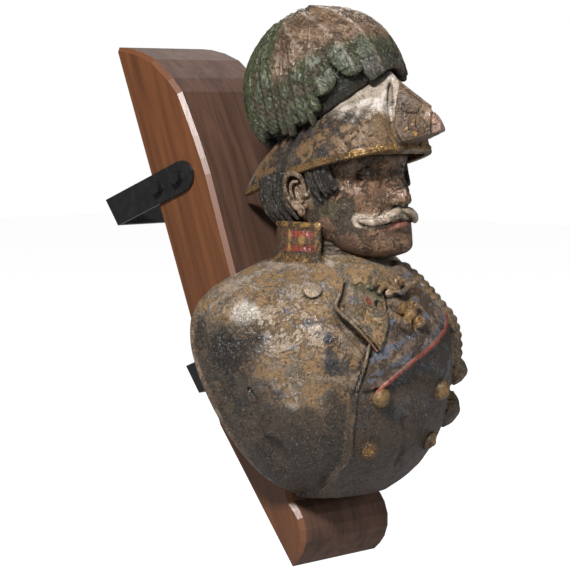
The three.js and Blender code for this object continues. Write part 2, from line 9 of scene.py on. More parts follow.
import bpy
import numpy as np
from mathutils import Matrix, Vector


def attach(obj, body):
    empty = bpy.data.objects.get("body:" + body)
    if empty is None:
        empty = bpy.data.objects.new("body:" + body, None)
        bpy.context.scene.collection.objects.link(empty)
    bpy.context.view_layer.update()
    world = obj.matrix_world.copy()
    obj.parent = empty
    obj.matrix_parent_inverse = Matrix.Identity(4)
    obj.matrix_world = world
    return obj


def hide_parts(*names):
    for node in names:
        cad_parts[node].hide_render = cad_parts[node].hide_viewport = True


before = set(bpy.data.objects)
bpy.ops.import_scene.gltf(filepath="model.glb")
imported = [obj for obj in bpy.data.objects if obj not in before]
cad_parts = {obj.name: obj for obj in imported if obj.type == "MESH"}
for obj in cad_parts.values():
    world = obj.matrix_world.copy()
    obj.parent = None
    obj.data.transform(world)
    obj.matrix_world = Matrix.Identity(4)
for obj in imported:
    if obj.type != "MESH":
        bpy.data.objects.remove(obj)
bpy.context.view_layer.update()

F32 = np.float32
WALL_PLATE_CENTRE = np.array([0, 265, 101], F32)

# ---------------------------------------------------------------- camera

CAMERA_PLACE = (-2.43, -2.531, 0.1745)
CAMERA_LOOKS = (0.72885, 0.67967, -0.08263)
CAMERA_LENS = 143.2

camera = bpy.data.objects.new("camera", bpy.data.cameras.new("camera"))
bpy.context.scene.collection.objects.link(camera)
camera.location = CAMERA_PLACE
camera.rotation_mode = "QUATERNION"
camera.rotation_quaternion = Vector(CAMERA_LOOKS).to_track_quat("-Z", "Y")
camera.data.sensor_width = 36
camera.data.lens = CAMERA_LENS
camera.data.clip_end = 50
bpy.context.scene.camera = camera

# ---------------------------------------------------------------- driving dimensions

GAP = 0.3
BOARD_FRONT = (6.3, 0.356)  # y = offset + slope * z

# Level sections of the torso: z, y of the widest point, half-width, depth to the front and to
# the back, and fullness of the front.
TORSO = [
    (-295, -118, 26, 20, 30, 2),
    (-290, -108, 68, 42, 40, 2),
    (-280, -98, 104, 69, 60, 2),
    (-265, -90, 131, 98, 90, 2),
    (-245, -82, 154, 127, 110, 2),
    (-212, -70, 180, 161, 130, 2),
    (-170, -56, 201, 190, 150, 2),
    (-125, -42, 215, 213, 160, 2),
    (-80, -34, 220, 229, 160, 1.95),
    (-45, -32, 213, 227, 140, 1.88),
    (-18, -34, 200, 209, 98, 1.78),
    (4, -38, 176, 190, 76, 1.77),
    (20, -44, 148, 174, 64, 1.8),
    (32, -54, 120, 155, 62, 1.8),
    (42, -70, 98, 128, 66, 1.9),
    (50, -84, 84, 100, 66, 2),
    (58, -94, 72, 74, 66, 2),
]

# The head frame runs x, forward and up from between the ears, tipped back by HEAD_TILT.
HEAD_CENTRE = np.array([0, -108, 139], F32)
HEAD_TILT = math.radians(12)
# up, forward, half-width, depth to the front and to the back
HEAD = [
    (-105, 76, 14, 14, 14),
    (-102, 70, 27, 28, 24),
    (-95, 60, 41, 43, 36),
    (-82, 46, 54, 58, 48),
    (-60, 26, 67, 78, 62),
    (-37, 12, 74, 90, 80),
    (0, 4, 80, 96, 95),
    (32, 0, 82, 109, 97),
    (62, -2, 79, 104, 92),
]
# Relief of the face, mirrored: x, up, lift, width and height of each form.
FACE_FORMS = [
    (31, 12, -13, 18, 12),
    (30, 30, 6, 26, 8),
    (48, -14, 6, 18, 16),
    (0, -52, 5, 24, 7),
    (0, -59, -3, 22, 2.5),
    (0, -66, 6, 18, 6),
    (0, -76, -4, 18, 5),
    (0, -91, 7, 20, 11),
    (34, -44, -3, 7, 12),
]
NOSE = [(34, 0, 12), (18, 7, 9), (-8, 17, 9), (-28, 27, 12), (-36, 18, 14), (-42, 0, 14)]

# Line of one wing of the moustache: x, forward, up.
MOUSTACHE = [(1, 106, -43), (14, 110, -47), (30, 103, -54), (45, 91, -57), (58, 76, -52)]

NECK_CENTRE_Y = -98
COLLAR = {"half": 82, "depth": 85, "bottom": 38, "top": 99, "thick": 8, "opening": 62}

# Sections of the hat from back to front: forward, half-width, brim, top and lean.
HAT = [
    (-190, 36, 14, 118, 0),
    (-158, 41, 21, 122, 0),
    (-92, 64, 26, 132, 0),
    (-27, 84, 27, 142, 0),
    (13, 93, 29, 148, 0),
    (55, 97, 30, 154, 2),
    (86, 91, 31, 155, 4),
    (110, 78, 32, 153, 7),
    (127, 60, 34, 150, 10),
    (140, 40, 36, 146, 13),
]
HAT_BEAK = [
    (112, 36, 46, 150),
    (140, 29, 45, 131),
    (154, 23, 45, 116),
    (170, 17, 46, 101),
    (188, 12, 47, 85),
    (200, 8, 48, 72),
    (205, 6, 49, 63),
]

HAT_BACK = (-153, 21)  # forward and up of the hat's hindmost edge, where its slope starts

PLUME = {"forward": 4, "up": 148, "half": 90, "reach": 126, "height": 117, "lean": 0.06}
BARB_DEPTH = 4.2  # of the cuts between a feather's barbs
PLUME_TIPS = {"side": 92, "rise": 50}

# ---------------------------------------------------------------- curves and noise


def along(table, values):
    """Smooth curves through a table's columns, at the given values of its first column."""
    t = np.array(table, float)
    key = t[:, 0]
    if key[-1] < key[0]:
        t, key = t[::-1], key[::-1]
    v = np.clip(np.asarray(values, float), key[0], key[-1])
    i = np.clip(np.searchsorted(key, v, side="right") - 1, 0, len(key) - 2)
    before, after = np.maximum(i - 1, 0), np.minimum(i + 2, len(key) - 1)
    span = key[i + 1] - key[i]
    s = (v - key[i]) / span
    result = []
    for column in t.T[1:]:
        rise = column[i + 1] - column[i]
        slope_in = (column[i + 1] - column[before]) / (key[i + 1] - key[before]) * span
        slope_out = (column[after] - column[i]) / (key[after] - key[i]) * span
        cubic = slope_in + slope_out - 2 * rise
        square = 3 * rise - 2 * slope_in - slope_out
        result.append((column[i] + s * (slope_in + s * (square + s * cubic))).astype(F32))
    return result


def spline(points, steps):
    """Catmull-Rom curve through points, steps places to each span."""
    p = np.array(points, float)
    p = np.vstack([2 * p[0] - p[1], p, 2 * p[-1] - p[-2]])
    out = []
    for i in range(1, len(p) - 2):
        for s in np.arange(steps) / steps:
            a, b, c, d = p[i - 1 : i + 3]
            out.append(
                0.5
                * (
                    2 * b
                    + (c - a) * s
                    + (2 * a - 5 * b + 4 * c - d) * s * s
                    + (3 * b - a - 3 * c + d) * s**3
                )
            )
    out.append(p[-2])
    return np.array(out)


def smooth_step(low, high, value):
    t = np.clip((value - low) / (high - low), 0, 1)
    return t * t * (3 - 2 * t)


class Noise:
    """Smooth random values in space, about -1 to 1, with features of the given size."""

    def __init__(self, size, seed):
        self.size = size
        self.values = np.random.default_rng(seed).uniform(-1, 1, (64, 64, 64)).astype(F32)

    def __call__(self, x, y, z):
        low, share = [], []
        for axis in (x, y, z):
            g = np.asarray(axis, F32) / F32(self.size)
            floor = np.floor(g)
            low.append(floor.astype(np.int64) & 63)
            f = g - floor
            share.append(f * f * (3 - 2 * f))
        total = 0
        for corner in range(8):
            pick, weight = [], 1
            for axis in range(3):
                bit = (corner >> axis) & 1
                pick.append((low[axis] + bit) & 63)
                weight = weight * (share[axis] if bit else 1 - share[axis])
            total = total + weight * self.values[pick[0], pick[1], pick[2]]
        return total


# ---------------------------------------------------------------- carving in a distance field


def soft_min(a, b, blend):
    if blend <= 0:
        return np.minimum(a, b)
    h = np.clip(0.5 + 0.5 * (b - a) / blend, 0, 1)
    return b * (1 - h) + a * h - blend * h * (1 - h)


def soft_max(a, b, blend):
    return -soft_min(-a, -b, blend)


class Block:
    """Wood to carve: a distance field on a regular grid, in mm, negative inside."""

    def __init__(self, low, high, step):
        self.step = step
        self.low = np.array(low, F32)
        self.axes = [np.arange(a, b + step, step, dtype=F32) for a, b in zip(low, high)]
        self.d = np.full([len(axis) for axis in self.axes], 40, F32)

    def within(self, low, high):
        cut = tuple(
            slice(*np.searchsorted(axis, (a, b))) for axis, a, b in zip(self.axes, low, high)
        )
        places = [axis[s] for axis, s in zip(self.axes, cut)]
        return cut, np.meshgrid(*places, indexing="ij", sparse=True)

    def add(self, shape, low, high, blend=1.0):
        reach = blend + 3 * self.step
        cut, grid = self.within(np.subtract(low, reach), np.add(high, reach))
        if self.d[cut].size:
            self.d[cut] = soft_min(self.d[cut], shape(*grid), blend)

    def take(self, shape, low, high, blend=1.0):
        reach = blend + 3 * self.step
        cut, grid = self.within(np.subtract(low, reach), np.add(high, reach))
        if self.d[cut].size:
            self.d[cut] = soft_max(self.d[cut], -shape(*grid), blend)

    def lift(self, amount, low, high):
        """Raises the surface by an amount given over space, or sinks it where negative."""
        cut, grid = self.within(low, high)
        if self.d[cut].size:
            self.d[cut] = self.d[cut] - amount(*grid)

    def even_out(self):
        """Makes the field's slope about 1 near the surface, so that lifts are true."""
        gx, gy, gz = np.gradient(self.d, self.step)
        slope = np.sqrt(gx * gx + gy * gy + gz * gz)
        self.d /= np.clip(slope, 0.3, 4)

    def at(self, points):
        g = (points - self.low) / self.step
        top = np.array(self.d.shape) - 2
        i = np.clip(np.floor(g).astype(int), 0, top)
        f = np.clip(g - i, 0, 1)
        total = 0
        for corner in range(8):
            bit = [(corner >> axis) & 1 for axis in range(3)]
            weight = 1
            for axis in range(3):
                weight = weight * (f[:, axis] if bit[axis] else 1 - f[:, axis])
            total = total + weight * self.d[i[:, 0] + bit[0], i[:, 1] + bit[1], i[:, 2] + bit[2]]
        return total

    def skin(self):
        """Points and quads of the surface where the field is zero."""
        d = self.d
        inside = d < 0
        corners = [
            (0, 0, 0), (1, 0, 0), (0, 1, 0), (1, 1, 0), (0, 0, 1), (1, 0, 1), (0, 1, 1), (1, 1, 1)
        ]
        size = [n - 1 for n in d.shape]
        count = np.zeros(size, np.uint8)
        for a, b, c in corners:
            count += inside[a : a + size[0], b : b + size[1], c : c + size[2]]
        cells = np.argwhere((count > 0) & (count < 8))
        index = np.full(size, -1, np.int32)
        index[tuple(cells.T)] = np.arange(len(cells))
        value = [d[cells[:, 0] + a, cells[:, 1] + b, cells[:, 2] + c] for a, b, c in corners]
        total = np.zeros((len(cells), 3), F32)
        hits = np.zeros(len(cells), F32)
        for first in range(8):
            for axis in range(3):
                second = first | (1 << axis)
                if second == first:
                    continue
                v0, v1 = value[first], value[second]
                crossed = (v0 < 0) != (v1 < 0)
                t = np.where(crossed, v0 / np.where(crossed, v0 - v1, 1), 0)
                for other in range(3):
                    base = t if other == axis else corners[first][other]
                    total[:, other] += crossed * base
                hits += crossed
        points = self.low + self.step * (cells + total / hits[:, None])
        quads = []
        for axis in range(3):
            across, over = [(1, 2), (2, 0), (0, 1)][axis]
            a = [slice(None)] * 3
            b = [slice(None)] * 3
            a[axis], b[axis] = slice(None, -1), slice(1, None)
            change = inside[tuple(a)] != inside[tuple(b)]
            edge = np.argwhere(change)
            keep = (edge[:, across] > 0) & (edge[:, over] > 0)
            keep &= (edge[:, across] < size[across]) & (edge[:, over] < size[over])
            edge = edge[keep]
            ring = []
            for da, do in ((1, 1), (0, 1), (0, 0), (1, 0)):
                cell = edge.copy()
                cell[:, across] -= da
                cell[:, over] -= do
                ring.append(index[tuple(cell.T)])
            ring = np.stack(ring, 1)
            flip = ~inside[tuple(edge.T)]
            ring[flip] = ring[flip][:, ::-1]
            quads.append(ring)
        return points.astype(F32), np.vstack(quads)


def rod(points, radii, flat=1.0, facing=None):
    """A rounded rod along points, its radius given at each of them. flat under 1 thins it
    along facing. Returns the shape and its box."""
    p = np.array(points, F32)
    r = np.broadcast_to(np.array(radii, F32), len(p))
    low, high = p.min(0) - r.max(), p.max(0) + r.max()
    face = None if facing is None else np.array(facing, F32) / np.linalg.norm(facing)

    def shape(x, y, z):
        best = None
        for a, b, ra, rb in zip(p[:-1], p[1:], r[:-1], r[1:]):
            ab = b - a
            dx, dy, dz = x - a[0], y - a[1], z - a[2]
            t = np.clip((dx * ab[0] + dy * ab[1] + dz * ab[2]) / max(ab @ ab, 1e-6), 0, 1)
            dx, dy, dz = dx - t * ab[0], dy - t * ab[1], dz - t * ab[2]
            if face is not None:
                lean = (dx * face[0] + dy * face[1] + dz * face[2]) * (1 / flat - 1)
                dx, dy, dz = dx + lean * face[0], dy + lean * face[1], dz + lean * face[2]
            away = np.sqrt(dx * dx + dy * dy + dz * dz) - (ra + t * (rb - ra))
            best = away if best is None else np.minimum(best, away)
        return best

    return shape, low, high


def twisted_rod(points, radius, pitch, depth):
    """A cord: a rod with its strands wound round it."""
    p = np.array(points, F32)
    steps = np.linalg.norm(np.diff(p, axis=0), axis=1)
    start = np.concatenate([[0], np.cumsum(steps)])

    def shape(x, y, z):
        best, wave = None, None
        for i, (a, b) in enumerate(zip(p[:-1], p[1:])):
            ab = b - a
            side = np.cross(ab, (0, 0.3, 1))
            side = side / np.linalg.norm(side)
            out = np.cross(ab, side)
            out = out / np.linalg.norm(out)
            dx, dy, dz = x - a[0], y - a[1], z - a[2]
            t = np.clip((dx * ab[0] + dy * ab[1] + dz * ab[2]) / max(ab @ ab, 1e-6), 0, 1)
            dx, dy, dz = dx - t * ab[0], dy - t * ab[1], dz - t * ab[2]
            away = np.sqrt(dx * dx + dy * dy + dz * dz) - radius
            angle = np.arctan2(
                dx * out[0] + dy * out[1] + dz * out[2], dx * side[0] + dy * side[1] + dz * side[2]
            )
            turn = (start[i] + t * steps[i]) * (2 * np.pi / pitch) + 2 * angle
            ridge = depth * np.abs(np.cos(turn / 2))
            if best is None:
                best, wave = away, ridge
            else:
                nearer = away < best
                best, wave = np.where(nearer, away, best), np.where(nearer, ridge, wave)
        return best + depth - wave

    return shape, p.min(0) - radius, p.max(0) + radius


def ball(centre, radii, turn=None):
    """An ellipsoid, its axes the rows of turn."""
    c, r = np.array(centre, F32), np.broadcast_to(np.array(radii, F32), 3)
    axes = np.eye(3, dtype=F32) if turn is None else np.array(turn, F32)

    def shape(x, y, z):
        dx, dy, dz = x - c[0], y - c[1], z - c[2]
        near, far = 0, 0
        for axis, radius in zip(axes, r):
            part = dx * axis[0] + dy * axis[1] + dz * axis[2]
            near = near + (part / radius) ** 2
            far = far + (part / radius**2) ** 2
        near, far = np.sqrt(near), np.sqrt(far)
        return near * (near - 1) / np.maximum(far, 1e-6)

    return shape, c - r.max(), c + r.max()


def outline_distance(points, u, v):
    """Distance from a closed flat outline, negative inside it."""
    p = np.array(points, float)
    best, inside = None, None
    for a, b in zip(p, np.roll(p, -1, 0)):
        e = b - a
        wu, wv = u - a[0], v - a[1]
        t = np.clip((wu * e[0] + wv * e[1]) / (e @ e), 0, 1)
        gap = (wu - t * e[0]) ** 2 + (wv - t * e[1]) ** 2
        crosses = ((a[1] > v) != (b[1] > v)) & (
            u < (b[0] - a[0]) * (v - a[1]) / (b[1] - a[1] + 1e-9) + a[0]
        )
        best = gap if best is None else np.minimum(best, gap)
        inside = crosses if inside is None else inside ^ crosses
    return np.sqrt(best) * np.where(inside, -1, 1)


# ---------------------------------------------------------------- places on the figure


def from_head(x, forward, up):
    c, s = math.cos(HEAD_TILT), math.sin(HEAD_TILT)
    x, forward, up = np.broadcast_arrays(x, forward, up)
    return np.stack(
        [x, HEAD_CENTRE[1] - forward * c + up * s, HEAD_CENTRE[2] + forward * s + up * c], -1
    ).astype(F32)


def chest(x, z, lift=0.0):
    """The chest's surface at a given x and height, raised by lift, with its way out."""
    y, half, front, _, power = along(TORSO, z)
    share = np.minimum(abs(x) / half, 0.985)
    depth = front * (1 - share**power) ** (1 / power)
    below = along(TORSO, z - 4)
    share_below = np.minimum(abs(x) / below[1], 0.985)
    drop = below[0] - below[2] * (1 - share_below ** below[4]) ** (1 / below[4])
    slope = (y - depth - drop) / 4
    out = np.array([x / half**2, -depth / front**2, 0])
    out = out / np.linalg.norm(out)
    out[2] = -slope * out[1]
    out = out / np.linalg.norm(out)
    return np.array([x, y - depth, z]) + lift * out, out


def seat_axes(out):
    """Axes of something set on a surface whose way out is given: across, up and out."""
    side = np.cross(out, (0, 0, 1))
    side = side / np.linalg.norm(side)
    return side, np.cross(side, out), out


def on_chest(route, lift=0.0):
    return [chest(x, z, lift)[0] for x, z in route]


# ---------------------------------------------------------------- bust: torso and collar

# Outlines and lines on the chest, as x and z; the arm's crease as x, y and z.
NEAR_LAPEL = [
    (-62, 44), (-84, 16), (-113, -21), (-101, -46), (-84, -72), (-72, -44), (-60, -20), (-50, 8),
    (-42, 44)
]
FAR_LAPEL = [
    (14, 46), (36, 18), (58, -26), (48, -46), (24, -60), (-36, -90), (-78, -124), (-101, -128),
    (-97, -97), (-84, -64), (-66, -30), (-44, -4), (-20, 26)
]
FRONT_PANEL = [
    (-52, -10), (-66, -40), (-90, -70), (-104, -104), (-110, -140), (-106, -182), (-98, -222),
    (-96, -250), (-86, -292), (70, -292), (86, -250), (92, -180), (88, -110), (62, -40), (52, 0)
]
# How far each layer of cloth stands off the chest.
PANEL_LIFT, FAR_LAPEL_LIFT, NEAR_LAPEL_LIFT = 5.5, 9, 15
PANEL_EDGE = [
    (-98, -94), (-105, -126), (-111, -142), (-106, -180), (-97, -219), (-98, -248), (-86, -280)
]
COAT_EDGE = [(-58, -12), (-70, -32), (-90, -62), (-99, -96), (-106, -130)]
PIPING = [(62, -36), (44, -52), (24, -62), (-6, -77), (-36, -92), (-78, -126)]
ARM_CREASE = [
    (-198, -112, -118), (-196, -124, -136), (-189, -126, -165), (-176, -124, -198),
    (-158, -130, -226), (-140, -128, -250)
]
CORD_ROUTE = [(30, 34), (56, 14), (84, -8), (112, -38), (134, -78), (142, -116)]
# x, z, radius and height of each button
BUTTONS = [
    (-118, 8, 12.5, 4.5), (112, 6, 12.5, 4.5), (-70, -136, 14, 11), (52, -137, 14, 11),
    (-68, -211, 13.5, 7), (52, -210, 13.5, 7)
]


def bead(block, route, lift, radius, steps=6, blend=1.2, add=True):
    """A rounded ridge along a route over the chest, or a groove where add is False."""
    line = on_chest(spline(route, steps), lift)
    (block.add if add else block.take)(*rod(line, radius), blend=blend)


def carve_edges(block):
    """Turned hem of the near lapel, the coat's front edge and the red piping."""
    bead(block, [(-84, 16), (-100, -4), (-113, -21), (-101, -46), (-84, -72)], 12.5, 2.0)
    bead(
        block, [(-80, 14), (-94, -4), (-104, -21), (-94, -44), (-80, -64)], 16.5, 2.2, blend=2,
        add=False
    )
    bead(block, [(-66, 30), (-78, 0), (-84, -22), (-78, -44)], 17, 3.5, blend=5, add=False)
    bead(block, COAT_EDGE, 7.5, 2.6)
    bead(block, PIPING, 10, 2.8)
    bead(block, [(58, -26), (54, -38), (48, -46)], 8.5, 2.5)
    bead(block, PANEL_EDGE, 5, 3.0, add=False)
    bead(block, [(-104, -130), (-100, -182), (-90, -222), (-90, -270)], 6, 3.4, blend=2)
    bead(block, [(-98, -94), (-105, -126), (-111, -142)], 6, 2.6, add=False)


def carve_creases(block):
    """Creases that fan out from the lapel, and the deep one beside each arm."""
    for route, lift, radius in (
        ([(-128, -40), (-150, -52), (-168, -62)], 1.5, 3),
        ([(-118, -84), (-138, -100), (-160, -110)], 1.5, 3),
        ([(-120, 30), (-136, 10), (-146, -14)], 1.5, 2.5),
        ([(-24, -170), (-10, -200), (-6, -236)], 1.0, 3),
    ):
        bead(block, route, lift + 5, radius, blend=7, add=False)
    for sign in (-1, 1):
        line = spline(ARM_CREASE, 6) * (-sign, 1, 1)
        line = spline([(p[0], p[1], p[2]) for p in line[::3]], 3)
        block.take(*rod(line, np.linspace(1, 4, len(line))), blend=6)
    block.take(*ball((-168, -134, -232), (16, 14, 34)), blend=14)


def carve_buttons(block):
    """Each button is a domed head with a rim, in a shallow seat."""
    for bx, bz, radius, height in BUTTONS:
        place, out = chest(bx, bz, 7.5 if abs(bx) < 100 else 0.5)
        turn = seat_axes(out)
        block.take(*ball(place, (radius + 2.5, radius + 2.5, 4), turn), blend=1)
        block.add(*ball(place, (radius, radius, height), turn), blend=0.6)
        ring = [
            place + out * 1.5 + (radius - 1) * (math.cos(t) * turn[0] + math.sin(t) * turn[1])
            for t in np.linspace(0, 2 * math.pi, 17)
        ]
        block.add(*rod(ring, 1.8), blend=0.8)
        if height > 6:
            block.add(
                *ball(place + out * height * 0.8, (radius * 0.4, radius * 0.4, 4), turn), blend=1
            )


def carve_ornament(block):
    """The knot of cord under the collar and the cross beside it."""
    for kx, kz, radius in (
        (-54, 8, 11), (-40, 12, 12), (-26, 3, 11), (-14, 10, 10), (2, 4, 10), (-38, -2, 9)
    ):
        place, out = chest(kx, kz, 11)
        block.add(*ball(place, (radius, radius * 0.8, radius * 0.85)), blend=2)
    for route in (
        [(-62, 2), (-48, 14), (-34, 2), (-20, 14), (-6, 2), (12, 8)],
        [(-56, -4), (-42, 4), (-26, -6), (-10, 2)]
    ):
        block.add(*twisted_rod(on_chest(spline(route, 4), 19), 4.2, 9, 1.4), blend=0.8)
    block.take(*ball(chest(-62, -20, 14)[0], (7, 12, 9)), blend=1.5)
    centre, out = chest(-26, -32, 12)
    side, rise, _ = seat_axes(out)
    for quarter in range(4):
        angle = math.pi / 4 + quarter * math.pi / 2
        way = math.cos(angle) * side + math.sin(angle) * rise
        leg = [centre + way * 5, centre + way * 14, centre + way * 19]
        block.add(*rod(leg, (5, 7.5, 9)), blend=2)
        block.take(*ball(centre + way * 17 + out * 8, 4), blend=1)
    block.add(*ball(centre + out * 5, (8, 8, 6), [side, rise, out]), blend=1)


def carve_aiguillette(block):
    """The plaited cords on the far breast, with two ribbed medals below them."""
    block.add(*twisted_rod(on_chest(spline(CORD_ROUTE, 5), 2), 8.5, 15, 3), blend=1)
    block.add(
        *twisted_rod(
            on_chest(spline([(40, 22), (70, -14), (96, -52), (112, -96), (118, -120)], 5), 3), 6,
            12, 2
        ),
        blend=1
    )
    for mx, mz, radius in ((140, -122, 21), (128, -176, 27)):
        place, out = chest(mx, mz, 1)
        side, rise, _ = seat_axes(out)
        block.add(*ball(place, (radius, radius, 18), [side, rise, out]), blend=3)
        for k in range(10):
            t = k * math.pi / 5
            way = math.cos(t) * side + math.sin(t) * rise
            block.add(
                *rod(
                    [
                        place + out * 18 + way * 3, place + out * 13 + way * radius * 0.6,
                        place + out * 3 + way * radius
                    ],
                    (2.6, 2.4, 2)
                ),
                blend=1
            )


def carve_collar(block):
    """The collar, open in front, with its tabs and lace, and the cloth round the neck."""
    c = COLLAR
    cut, (u, v, w) = block.within((-100, -200, 24), (100, 0, 124))
    grow = 6 * (1 - smooth_step(c["bottom"] - 6, c["top"], w))
    ring = np.sqrt((u / (c["half"] + grow)) ** 2 + ((v - NECK_CENTRE_Y) / (c["depth"] + grow)) ** 2)
    wall = (ring - 1) * c["half"]
    angle = np.degrees(np.arctan2(np.abs(u), -(v - NECK_CENTRE_Y)))
    open_front = (c["opening"] - angle) * 1.45
    body = soft_max(wall, -(wall + c["thick"]), 1.5)
    body = soft_max(body, open_front + 0 * body, 2)
    body = soft_max(body, w - c["top"] + 0 * body, 2)
    body = soft_max(body, (c["bottom"] - 10) - w + 0 * body, 2)
    lace = soft_min(
        np.abs(w - c["top"] + 3.5) - 3.5, np.abs(angle - c["opening"] - 3) * 1.45 - 3, 1
    )
    base = np.abs(w - 48) - 4.5
    tab = soft_max(
        soft_max(np.abs(w - 72) - 15, np.abs(angle - 90) * 1.45 - 21, 1), 0 * wall - 20, 1
    )
    body = body - 1.3 * smooth_step(1, -1, np.minimum(lace, base)) - 1.0 * smooth_step(1, -1, tab)
    body = body + 1.1 * smooth_step(1.2, 0, np.abs(np.abs(w - 72) - 5.5)) * (tab < 0)
    neck = np.sqrt((u / 62) ** 2 + ((v - NECK_CENTRE_Y) / 66) ** 2)
    neck = (neck - 1) * 62
    cloth = np.sqrt((u / 69) ** 2 + ((v - NECK_CENTRE_Y - 1) / 78) ** 2)
    folds = 1.6 * np.sin((w + 0.35 * np.abs(u) - 0.1 * v) * 0.75) + 1.2 * np.sin(angle * 0.28)
    cloth = (cloth - 1) * 69 - folds + 0.16 * (w - 50)
    cloth = soft_max(cloth, w - 80 + 0 * cloth, 5)
    near = soft_min(soft_min(block.d[cut], neck, 2), cloth, 2)
    block.d[cut] = soft_min(near, body, 1.0)
    for sign in (-1, 1):
        spot = (sign * 83.5, -112, 74)
        block.add(*ball(spot, (4.5, 8, 9.5)), blend=0.5)
        block.add(*rod([(sign * 84.5, -88, 58), (sign * 84, -88, 88)], 2.2), blend=0.6)


def carve_bust(step):
    block = Block((-227, -292, -298), (227, 44, 124), step)
    x, y, z = np.meshgrid(*block.axes, indexing="ij", sparse=True)
    middle, half, front, back, power = [c[None, None, :] for c in along(TORSO, block.axes[2])]
    ahead = y < middle
    depth = np.where(ahead, front, back)
    bend = np.where(ahead, power, 2).astype(F32)
    a = np.abs(x) / half
    b = np.abs(y - middle) / depth
    full = np.maximum(a**bend + b**bend, 1e-6) ** (1 / bend)
    block.d = np.sqrt(x * x + (y - middle) ** 2) * (1 - 1 / full)
    block.d = soft_max(block.d, TORSO[0][0] - z, 4)
    block.d = soft_max(block.d, (z - TORSO[-1][0]) + 0 * block.d, 4)
    block.even_out()
    torso = block.d.copy()

    # front panel, lower than the coat's buttoned edge at its right
    chest_zone = ((-135, -292, -296), (135, -100, 52))
    cut, (u, v, w) = block.within(*chest_zone)
    over = torso[cut]

    def patch(outline, thick, edge, under=14.0):
        side = outline_distance(outline, u, w) + 0 * v
        return soft_max(soft_max(over - thick, side, edge), -over - under, 1)

    block.d[cut] = soft_min(block.d[cut], patch(FRONT_PANEL, PANEL_LIFT, 3), 1.5)

    # hollow under the near lapel, then the lapels themselves
    undercut = rod(
        on_chest(spline([(-112, -24), (-103, -46), (-88, -70), (-80, -70)], 5), 3),
        [6, 10, 12, 13, 13, 14, 14, 14, 13, 12, 11, 9, 8, 7, 6, 4]
    )
    block.take(*undercut, blend=2)
    block.d[cut] = soft_min(block.d[cut], patch(FAR_LAPEL, FAR_LAPEL_LIFT, 2.5), 1.5)
    near = patch(NEAR_LAPEL, NEAR_LAPEL_LIFT, 2.5, under=-9)
    block.d[cut] = soft_min(block.d[cut], near, 1.5)
    root = patch(
        [(-62, 44), (-84, 16), (-104, -8), (-84, -34), (-66, -40), (-54, -10), (-42, 44)], 12, 4
    )
    block.d[cut] = soft_min(block.d[cut], root, 2)

    carve_edges(block)
    carve_creases(block)
    carve_buttons(block)
    carve_ornament(block)
    carve_aiguillette(block)
    carve_collar(block)

    # flat back against the board
    tilt = math.cos(math.atan(BOARD_FRONT[1]))
    back_plane = (y - (BOARD_FRONT[0] - GAP - 0.4 + BOARD_FRONT[1] * z)) * tilt
    block.d = soft_max(block.d, back_plane.astype(F32), 9)
    return block


# ---------------------------------------------------------------- head


def face_lift(x, up):
    x = np.abs(x)
    lift = 0
    for fx, fu, amount, wide, high in FACE_FORMS:
        lift = lift + amount * np.exp(-(((x - fx) / wide) ** 2) - ((up - fu) / high) ** 2)
    height, spread = along(NOSE, up)
    height = np.where((up < NOSE[0][0]) & (up > NOSE[-1][0]), height, 0)
    return lift + height * np.exp(-((x / spread) ** 2))


def lock_of_hair(block, path, radii, strands, seed):
    """A lock carved as a bundle of strands that lie side by side and cross a little."""
    rng = np.random.default_rng(seed)
    line = spline(path, 4)
    radius = np.interp(np.linspace(0, 1, len(line)), np.linspace(0, 1, len(radii)), radii)
    block.add(*rod(line, radius * 0.8), blend=2)
    way = np.gradient(line, axis=0)
    way /= np.linalg.norm(way, axis=1)[:, None]
    out = np.cross(way, (0.0, 1.0, 0.2))
    out /= np.linalg.norm(out, axis=1)[:, None]
    up = np.cross(out, way)
    for k in range(strands):
        phase = 2 * math.pi * (k + rng.uniform(-0.2, 0.2)) / strands
        turn = phase + rng.uniform(0.5, 1.2) * np.linspace(0, 1, len(line))
        offset = np.cos(turn)[:, None] * out + np.sin(turn)[:, None] * up
        offset = offset * (radius * 0.75)[:, None]
        block.add(*rod(line + offset, np.maximum(radius * 0.42, 1.2)), blend=0.6)


def carve_eye(block, sign):
    """The eyeball, two lids and the fold above them, the pouch below and the cheek's fold."""
    eye = np.array((sign * 31, 80, 11))
    block.add(*ball(eye, (14, 11.5, 11.5)), blend=0.8)
    upper, lower, fold = [], [], []
    for t in np.linspace(-1, 1, 9):
        wide = 16 * t
        bulge = math.sqrt(max(0, 1 - (t * 0.92) ** 2))
        upper.append(eye + (sign * wide, -5 + 15.5 * bulge, 1 + 6.5 * bulge))
        lower.append(eye + (sign * wide, -5 + 14.5 * bulge, 0 - 5.5 * bulge))
        fold.append(eye + (sign * wide * 1.12, -7 + 15 * bulge, 5 + 9.5 * bulge))
    block.add(*rod(upper, (1.6, 2.2, 2.6, 2.8, 2.8, 2.7, 2.5, 2.2, 1.8)), blend=0.8)
    block.add(*rod(lower, (1.4, 1.6, 1.9, 2, 2, 2, 1.9, 1.7, 1.6)), blend=1.2)
    block.add(*rod(fold, 3.4), blend=4)
    block.take(*rod([p + (0, 2.5, -3.5) for p in fold], 0.9), blend=1.2)
    # pouch under the eye and the fold from the nose to the mouth
    block.add(
        *rod([eye + (sign * -10, 8, -12), eye + (sign * 2, 8, -14), eye + (sign * 12, 4, -11)], 3),
        blend=5
    )
    block.add(
        *rod([(sign * 19, 98, -32), (sign * 31, 92, -42), (sign * 40, 82, -58)], 3.2), blend=5
    )


